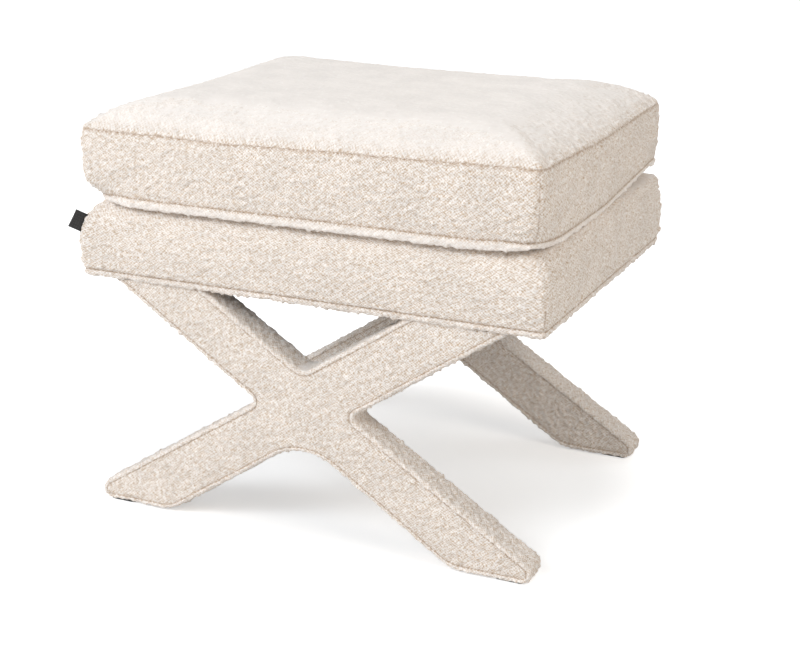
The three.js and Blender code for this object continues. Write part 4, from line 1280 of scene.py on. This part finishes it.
class STOOL_OT_leg_covers(bpy.types.Operator):
    """Covers both X frames: flat faces inside a seam, and padded bands round the edges"""
    bl_idname = "stool.leg_covers"
    bl_label = "Leg covers"

    def execute(self, context):
        scene = context.scene
        cloth, thread = cloth_of(scene), thread_of(scene)
        depth = scene.stool_cloth.seam_depth / MM * 0.5
        section = band_section(depth)
        step = 3.6
        rings = [(frame_ring(inset, step)[0], y) for inset, y in section]
        starts = frame_ring(0.0, step)[1]
        count = len(rings[0][0])
        low = rings[0][0]
        seam_x = TOE_X - FOOT_SEAM_IN
        left = starts[0] + int(np.argmin(np.abs(low[starts[0]:starts[1], 0] + seam_x)))
        right = starts[3] + int(np.argmin(np.abs(low[starts[3]:starts[4], 0] - seam_x)))
        spans = {"arch": (left, right), "right": (right, starts[RIGHT_OUTER]),
                 "upper": (starts[RIGHT_INNER], starts[LEFT_INNER]),
                 "left": (starts[LEFT_OUTER], left + count)}
        edge = rings[len(rings) // 2][0]
        along, across = lengths_along(edge), lengths_along(np.array(section))
        sewn, rolled = np.zeros(len(section)), np.zeros(len(section))
        # The band is painted brownish along its seams: pressed pile and painted shade in their creases.
        sewn[[0, -1]], sewn[[1, -2]] = 0.75, 0.2
        # The lips beside the band's seams roll over the edges: their pile lies smoother, and their lighter
        # tone is partly a painted highlight where they face the lamps.
        rolled[2:6], rolled[-6:-2] = 0.3, 0.3
        face_points, face_faces, away = face_triangles()
        for row, frame_y in (("front", -FRAME_Y), ("rear", FRAME_Y)):
            for name, (first, last) in spans.items():
                pick = np.arange(first, last + 1) % count
                grid = np.stack([
                    np.stack([ring[pick, 0], np.full(len(pick), frame_y + y), ring[pick, 1]], 1)
                    for ring, y in rings])
                self.hang(grid, frame_y)
                u = along[pick] + np.where(np.arange(first, last + 1) >= count, along[-1] + step, 0)
                flat = np.stack(np.meshgrid(u, across), 2).reshape(-1, 2)
                band = piece(f"{row}_{name}_band_cloth", grid.reshape(-1, 3),
                             grid_quads(len(rings), len(pick))[:, ::-1], cloth, "base", "boucle_band", flat,
                             {"seam": np.repeat(sewn, len(pick)), "rolled": np.repeat(rolled, len(pick))})
                refine(band, 1)
                push_out(band, pile(scene))
                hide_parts(f"{row}_{name}_band")
            for side in ("outer", "inner"):
                towards = -1 if (side == "outer") == (row == "front") else 1
                y = frame_y + towards * (FRAME_HALF + seam_height(away, depth))
                points = np.stack([face_points[:, 0], y, face_points[:, 1]], 1)
                faces = face_faces if towards < 0 else face_faces[:, ::-1]
                # Along its seam the face is painted brownish: pressed pile and painted shade in the crease.
                face = piece(f"{row}_{side}_face_cloth", points, faces, cloth, "base", "boucle",
                             face_points * [-towards, 1], {"seam": 0.6 * np.exp(-away / 1.2)})
                push_out(face, pile(scene))
                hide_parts(f"{row}_{side}_face")
            rows = []
            ring, corners = frame_ring(SEAM_INSET - 0.1)
            for first, last in ((corners[RIGHT_INNER], corners[LEFT_INNER]),
                                (corners[LEFT_OUTER], corners[RIGHT_OUTER] + len(ring))):
                x, z = ring[np.arange(first, last + 1) % len(ring)].T
                for towards in (-1, 1):
                    path = np.stack([x, np.full(len(x), frame_y + towards * (FRAME_HALF - depth)), z], 1)
                    outward = np.tile([0.0, towards, 0.0], (len(path), 1))
                    rows.append(stitch_row(path, outward, scene, 40 + first))
            piece(f"{row}_frame_stitches", *joined(rows), thread, "base", "boucle_band")
        return {"FINISHED"}

    @staticmethod
    def hang(grid, frame_y):
        """Lets the cover's lower edge hang down beside the glides, least over the left toes."""
        x, y, z = grid[..., 0], np.abs(grid[..., 1] - frame_y), grid[..., 2]
        low = np.clip(1 - (z - 2.0) / 6, 0, 1) * np.clip((y - FRAME_HALF + 4.2) / 2.6, 0, 1)
        reach = np.where(x < 0, np.clip((x + TOE_X - 12) / 40, 0, 1), np.clip((TOE_X - 4 - x) / 6, 0, 1))
        grid[..., 2] -= np.where(x < 0, *FOOT_SAG) * low * reach


class STOOL_OT_fillings(bpy.types.Operator):
    """Puts the foam into the cushion and onto the seat board"""
    bl_idname = "stool.fillings"
    bl_label = "Foam fillings"

    def execute(self, context):
        foam = cut_foam()
        inset = 5.0
        half = (CUSHION_HALF[0] - inset, CUSHION_HALF[1] - inset)

        def crowned(x, y):
            part = ring_share(x, y, half, lambda m: 14.0 + CROWN_CORNER * (1 - m))
            return CUSHION_SEAM - inset + (CUSHION_CROWN - 1) * (1 - part ** CROWN_POWER)

        # The core's back is straight, because the zip's tape lies against it.
        rows = [(1.0, 470.0, 14.0, "side"), (1.5, 440.0, 14.0, "side"), (1.0, 415.0, 14.0, "side"),
                (-1.5, CUSHION_LOW + 7, 12.0, "side"), (-6.0, CUSHION_LOW + inset, 10.0, "side")]
        form = boxed_form(half, 12.0, crowned, rows, plain=True)
        settle_cushion(form["points"])
        core = piece("cushion_core_foam", form["points"], form["quads"], foam, "cushion", "foam")
        refine(core, 1)
        push_out(core, lambda points, normals: 0.3 * noise(points, 9.0, 51))
        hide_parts("cushion_core")

        inset, slab_top = 27.0, 393.6
        half = (DECK_HALF[0] - inset, DECK_HALF[1] - inset)
        rows = [(13.0, 390.5, 16.0, "side"), (19.0, 382.0, 14.0, "side"), (21.5, 372.0, 12.0, "side"),
                (21.5, BOARD_TOP + 0.6, 10.0, "side")]
        form = boxed_form(half, 12.0, lambda x, y: np.full(len(x), slab_top), rows, plain=True)
        slab = piece("deck_foam_slab", form["points"], form["quads"], foam, "base", "foam")
        push_out(slab, lambda points, normals: 0.25 * noise(points, 11.0, 53))
        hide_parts("deck_foam")
        return {"FINISHED"}


class STOOL_OT_timber(bpy.types.Operator):
    """Finishes the beech frames, rails and blocks and the plywood seat board"""
    bl_idname = "stool.timber"
    bl_label = "Timber"

    def execute(self, context):
        scene = context.scene
        lying = {
            "x": ["front_rail", "rear_rail", "front_arch_block", "rear_arch_block"],
            "y": ["left_rail", "right_rail", "front_left_block", "front_right_block", "rear_left_block",
                  "rear_right_block"],
            "rising": ["front_leg_rising", "rear_leg_rising"],
            "falling": ["front_leg_falling", "rear_leg_falling"],
        }
        for along, names in lying.items():
            dress_nodes(names, beech_wood(f"beech_planed_{along}", scene, along), 0.8)
        dress_nodes(["seat_board"], birch_plywood(scene), 0.5)
        return {"FINISHED"}


class STOOL_OT_underside(bpy.types.Operator):
    """Adds the dust cloth with its staples, and finishes the bolts and glides"""
    bl_idname = "stool.underside"
    bl_label = "Underside"

    def execute(self, context):
        half = (DECK_HALF[0] - HEM_LIP - 0.4, DECK_HALF[1] - HEM_LIP - 0.4)

        def sag(x, y):
            inner = np.clip((half[0] - 30 - np.abs(x)) / 90, 0, 1)
            inner = inner * np.clip((half[1] - 30 - np.abs(y)) / 90, 0, 1)
            wrinkle = noise(np.stack([x * 0.4, y * 1.6, x * 0], 1), 26.0, 61)
            return DECK_LOW + 0.7 - inner * (0.55 + 0.45 * wrinkle)

        points, faces, flat = cloth_slab(
            np.linspace(-half[0], half[0], 76), np.linspace(-half[1], half[1], 57), sag, 0.5)
        dust = piece("dust_cloth", points, faces, dust_felt(), "base", "dust_cloth", flat)
        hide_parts("dust_cover")
        # Wire staples 10 mm wide hold the cloth about every 38 mm.
        bars = []
        from_edge, height = 5, DECK_LOW + 0.35
        for x in np.linspace(-half[0] + 12, half[0] - 12, 15):
            for y in (-half[1] + from_edge, half[1] - from_edge):
                bars.append(((x, y, height), True))
        for y in np.linspace(-half[1] + 40, half[1] - 40, 10):
            for x in (-half[0] + from_edge, half[0] - from_edge):
                bars.append(((x, y, height), False))
        parts = []
        for lengthways in (True, False):
            centres = np.array([c for c, way in bars if way == lengthways])
            beaded, quads = beads(np.zeros((len(centres), 3)), (0.5, 0.35, 5.0))
            turned = np.stack([beaded[:, 2], beaded[:, 0], beaded[:, 1]], 1)
            if not lengthways:
                turned = np.stack([beaded[:, 0], beaded[:, 2], -beaded[:, 1]], 1)
            parts.append((turned + np.repeat(centres, len(turned) // len(centres), axis=0), quads))
        zinc = plated_metal("steel_zinc_plated", "#c6c9cc", "#9ea3a8", 0.34, 420.0)
        piece("dust_cloth_staples", *joined(parts), zinc, "base", "zinc_steel")
        dress_nodes([f"{row}_{end}_{side}_bolt" for row in ("front", "rear") for end in ("left", "right")
                     for side in ("outer", "inner")], zinc, 0.5)
        dress_nodes([f"{row}_{end}_glide" for row in ("front", "rear") for end in ("left", "right")],
                    moulded_plastic("polypropylene_moulded_black", "#232325", "#131314", 0.5), 0.4)
        return {"FINISHED"}


class STOOL_OT_tag(bpy.types.Operator):
    """Sews the blank folded tag into the front left corner of the deck"""
    bl_idname = "stool.tag"
    bl_label = "Side tag"

    def execute(self, context):
        start, tip, half_gap, high = 7.5, 24.6, 0.5, 23.0
        straight, bend = tip - start, math.pi * half_gap
        whole = 2 * straight + bend
        lines = [np.linspace(0, straight, 10), straight + np.linspace(0, bend, 8)[1:-1],
                 np.linspace(straight + bend, whole, 10)]
        slab, faces, flat = cloth_slab(
            np.concatenate(lines), np.linspace(-high / 2, high / 2, 12),
            lambda x, y: np.full(len(x), -0.2), 0.4)
        s, out = slab[:, 0], slab[:, 2]
        angle = np.clip((s - straight) / half_gap, 0, math.pi)
        near = np.where(s < straight, s, np.where(s > straight + bend, whole - s, straight))
        u = start + near + (half_gap + out) * np.sin(angle)
        w = (half_gap + out) * np.cos(angle)
        # Woven ends curl a little, so the tag leans more towards its tip.
        w = w + 0.9 * (near / straight) ** 2 * np.cos(slab[:, 1] / 9.0)
        local = np.stack([u, w, slab[:, 1]], 1)
        # It leaves the corner seam to the front left and rises towards its tip.
        heading, rise, sewn_at = math.radians(233), math.radians(30), [-294.0, -220.0, DECK_LOW + 61.5]
        turn = Matrix.Rotation(heading, 3, "Z") @ Matrix.Rotation(-rise, 3, "Y")
        points = local @ np.array(turn).T + sewn_at
        satin = woven_tape("polyester_satin_woven_black", "#2a2a2c", "#101011", 0.5)
        tag = piece("side_tag_cloth", points, faces[:, ::-1], satin, "base", "tag_cloth", flat)
        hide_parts("side_tag")
        return {"FINISHED"}


# Stage

def seen_directly(tree):
    """1 for rays from the eye, a mirror or glass, and 0 for the light that falls on things."""
    rays = node(tree, "ShaderNodeLightPath").outputs
    shiny = reckon(tree, "MAXIMUM", rays["Is Camera Ray"], rays["Is Glossy Ray"])
    return reckon(tree, "MAXIMUM", shiny, rays["Is Transmission Ray"])


def soft_lamp(name, place, size, power, tint):
    """A square soft lamp aimed at the stool's middle."""
    target = (0, 0, 0.3)
    lamp = bpy.data.lights.new(name, "AREA")
    lamp.shape, lamp.size, lamp.energy = "SQUARE", size, power
    lamp.color = linear(tint)[:3]
    made = bpy.data.objects.new(name, lamp)
    bpy.context.scene.collection.objects.link(made)
    made.location = place
    made.rotation_euler = (Vector(target) - Vector(place)).to_track_quat("-Z", "Y").to_euler()


# The place in metres, the side in metres and the tint of each lamp. A setting gives its power.
LAMPS = {
    "key": ((-1.95, -3.2, 3.1), 1.9, "#f5faff"),
    "left": ((-2.8, -0.6, 1.4), 1.4, "#ffffff"),
    "right": ((2.5, -0.9, 2.0), 1.4, "#fff6ea"),
    "low": ((-1.7, -2.7, 0.8), 1.2, "#fff0e0"),
    "rear": ((0.6, 1.9, 2.2), 1.4, "#f7fbff"),
}

# The camera's place in metres, and where it stands to the right of the front, how far up and how it rolls.
CAMERA_PLACE = (0.81497, -1.74044, 0.84452)
CAMERA_AZIMUTH, CAMERA_RISE, CAMERA_ROLL = math.radians(24.3786), math.radians(18.3979), math.radians(0.2464)


class STOOL_OT_stage(bpy.types.Operator):
    """Lays the pale floor and sets the soft lamps and the camera"""
    bl_idname = "stool.stage"
    bl_label = "Stage"

    def execute(self, context):
        scene = context.scene
        s = scene.stool_stage
        self.lay_floor(scene, s)
        for name, (place, size, tint) in LAMPS.items():
            soft_lamp(f"{name}_lamp", place, size, getattr(s, f"{name}_power"), tint)
        world = bpy.data.worlds.new("white_surroundings")
        world.use_nodes = True
        scene.world = world
        tree = world.node_tree
        tree.nodes.clear()
        level = mapped(tree, seen_directly(tree), 0.0, 1.0, s.sky, 1.0)
        light = node(tree, "ShaderNodeBackground", {"Color": linear("#ffffff"), "Strength": level})
        node(tree, "ShaderNodeOutputWorld", {"Surface": light.outputs["Background"]})

        azimuth, rise, roll = CAMERA_AZIMUTH, CAMERA_RISE, CAMERA_ROLL
        level_part = math.cos(rise)
        back = Vector((math.sin(azimuth) * level_part, -math.cos(azimuth) * level_part, math.sin(rise)))
        right = Vector((0, 0, 1)).cross(back).normalized()
        up = back.cross(right)
        across = right * math.cos(roll) + up * math.sin(roll)
        above = up * math.cos(roll) - right * math.sin(roll)
        lens = bpy.data.cameras.new("camera")
        lens.sensor_width, lens.lens = 36.0, s.lens
        camera = bpy.data.objects.new("camera", lens)
        scene.collection.objects.link(camera)
        axes = Matrix((across, above, back)).transposed()
        camera.matrix_world = Matrix.Translation(CAMERA_PLACE) @ axes.to_4x4()
        scene.camera = camera
        scene.view_settings.view_transform = "Standard"
        return {"FINISHED"}

    @staticmethod
    def lay_floor(scene, settings):
        """A matt floor that passes into a white backdrop away from the stool."""
        painted, tree = start_material("floor_painted_matt")
        place = node(tree, "ShaderNodeNewGeometry").outputs["Position"]
        away = node(tree, "ShaderNodeVectorMath", {0: place}, operation="LENGTH").outputs["Value"]
        # Both are (metres from the stool's middle, strength of the glow).
        near, far = (0.27, 0.41), (0.44, 0.78)
        white = mapped(tree, away, near[0], far[0], near[1], far[1], interpolation_type="SMOOTHSTEP")
        lift = reckon(tree, "MULTIPLY", seen_directly(tree), white)
        paint = node(tree, "ShaderNodeBsdfPrincipled",
                     {"Base Color": settings.floor, "Roughness": 0.9, "Specular IOR Level": 0.1})
        glow = node(tree, "ShaderNodeEmission", {"Strength": lift})
        both = node(tree, "ShaderNodeAddShader", {0: paint.outputs["BSDF"], 1: glow.outputs["Emission"]})
        node(tree, "ShaderNodeOutputMaterial", {"Surface": both.outputs["Shader"]})
        outer = np.geomspace(500, 20000, 8)
        lines = np.concatenate([-outer[::-1], np.linspace(-300, 300, 5), outer])
        y, x = [a.ravel() for a in np.meshgrid(lines, lines, indexing="ij")]
        quads = grid_quads(len(lines), len(lines))
        mesh = bpy.data.meshes.new("floor")
        mesh.from_pydata(np.stack([x * MM, y * MM, x * 0], 1).tolist(), [], quads.tolist())
        mesh.materials.append(painted)
        floor = bpy.data.objects.new("floor", mesh)
        scene.collection.objects.link(floor)


class STOOL_PT_panel(bpy.types.Panel):
    """Lists the stool's pieces and settings"""
    bl_idname = "STOOL_PT_panel"
    bl_label = "Vanity stool"
    bl_space_type = "VIEW_3D"
    bl_region_type = "UI"
    bl_category = "Stool"

    def draw(self, context):
        layout = self.layout
        for kind in OPERATORS:
            layout.operator(kind.bl_idname)
        for name, group in SETTINGS.items():
            box = layout.box()
            box.label(text=group.__doc__)
            for field in group.__annotations__:
                box.prop(getattr(context.scene, name), field)


OPERATORS = [STOOL_OT_stage, STOOL_OT_cushion, STOOL_OT_zip, STOOL_OT_deck, STOOL_OT_leg_covers,
             STOOL_OT_fillings, STOOL_OT_timber, STOOL_OT_underside, STOOL_OT_tag]
CLASSES = [*SETTINGS.values(), *OPERATORS, STOOL_PT_panel]


def register():
    for kind in CLASSES:
        bpy.utils.register_class(kind)
    for name, group in SETTINGS.items():
        setattr(bpy.types.Scene, name, bpy.props.PointerProperty(type=group))


def unregister():
    for name in SETTINGS:
        delattr(bpy.types.Scene, name)
    for kind in reversed(CLASSES):
        bpy.utils.unregister_class(kind)


def main():
    """Makes the whole stool and its stage."""
    register()
    for kind in OPERATORS:
        group, name = kind.bl_idname.split(".")
        getattr(getattr(bpy.ops, group), name)()


if __name__ == "__main__":
    main()
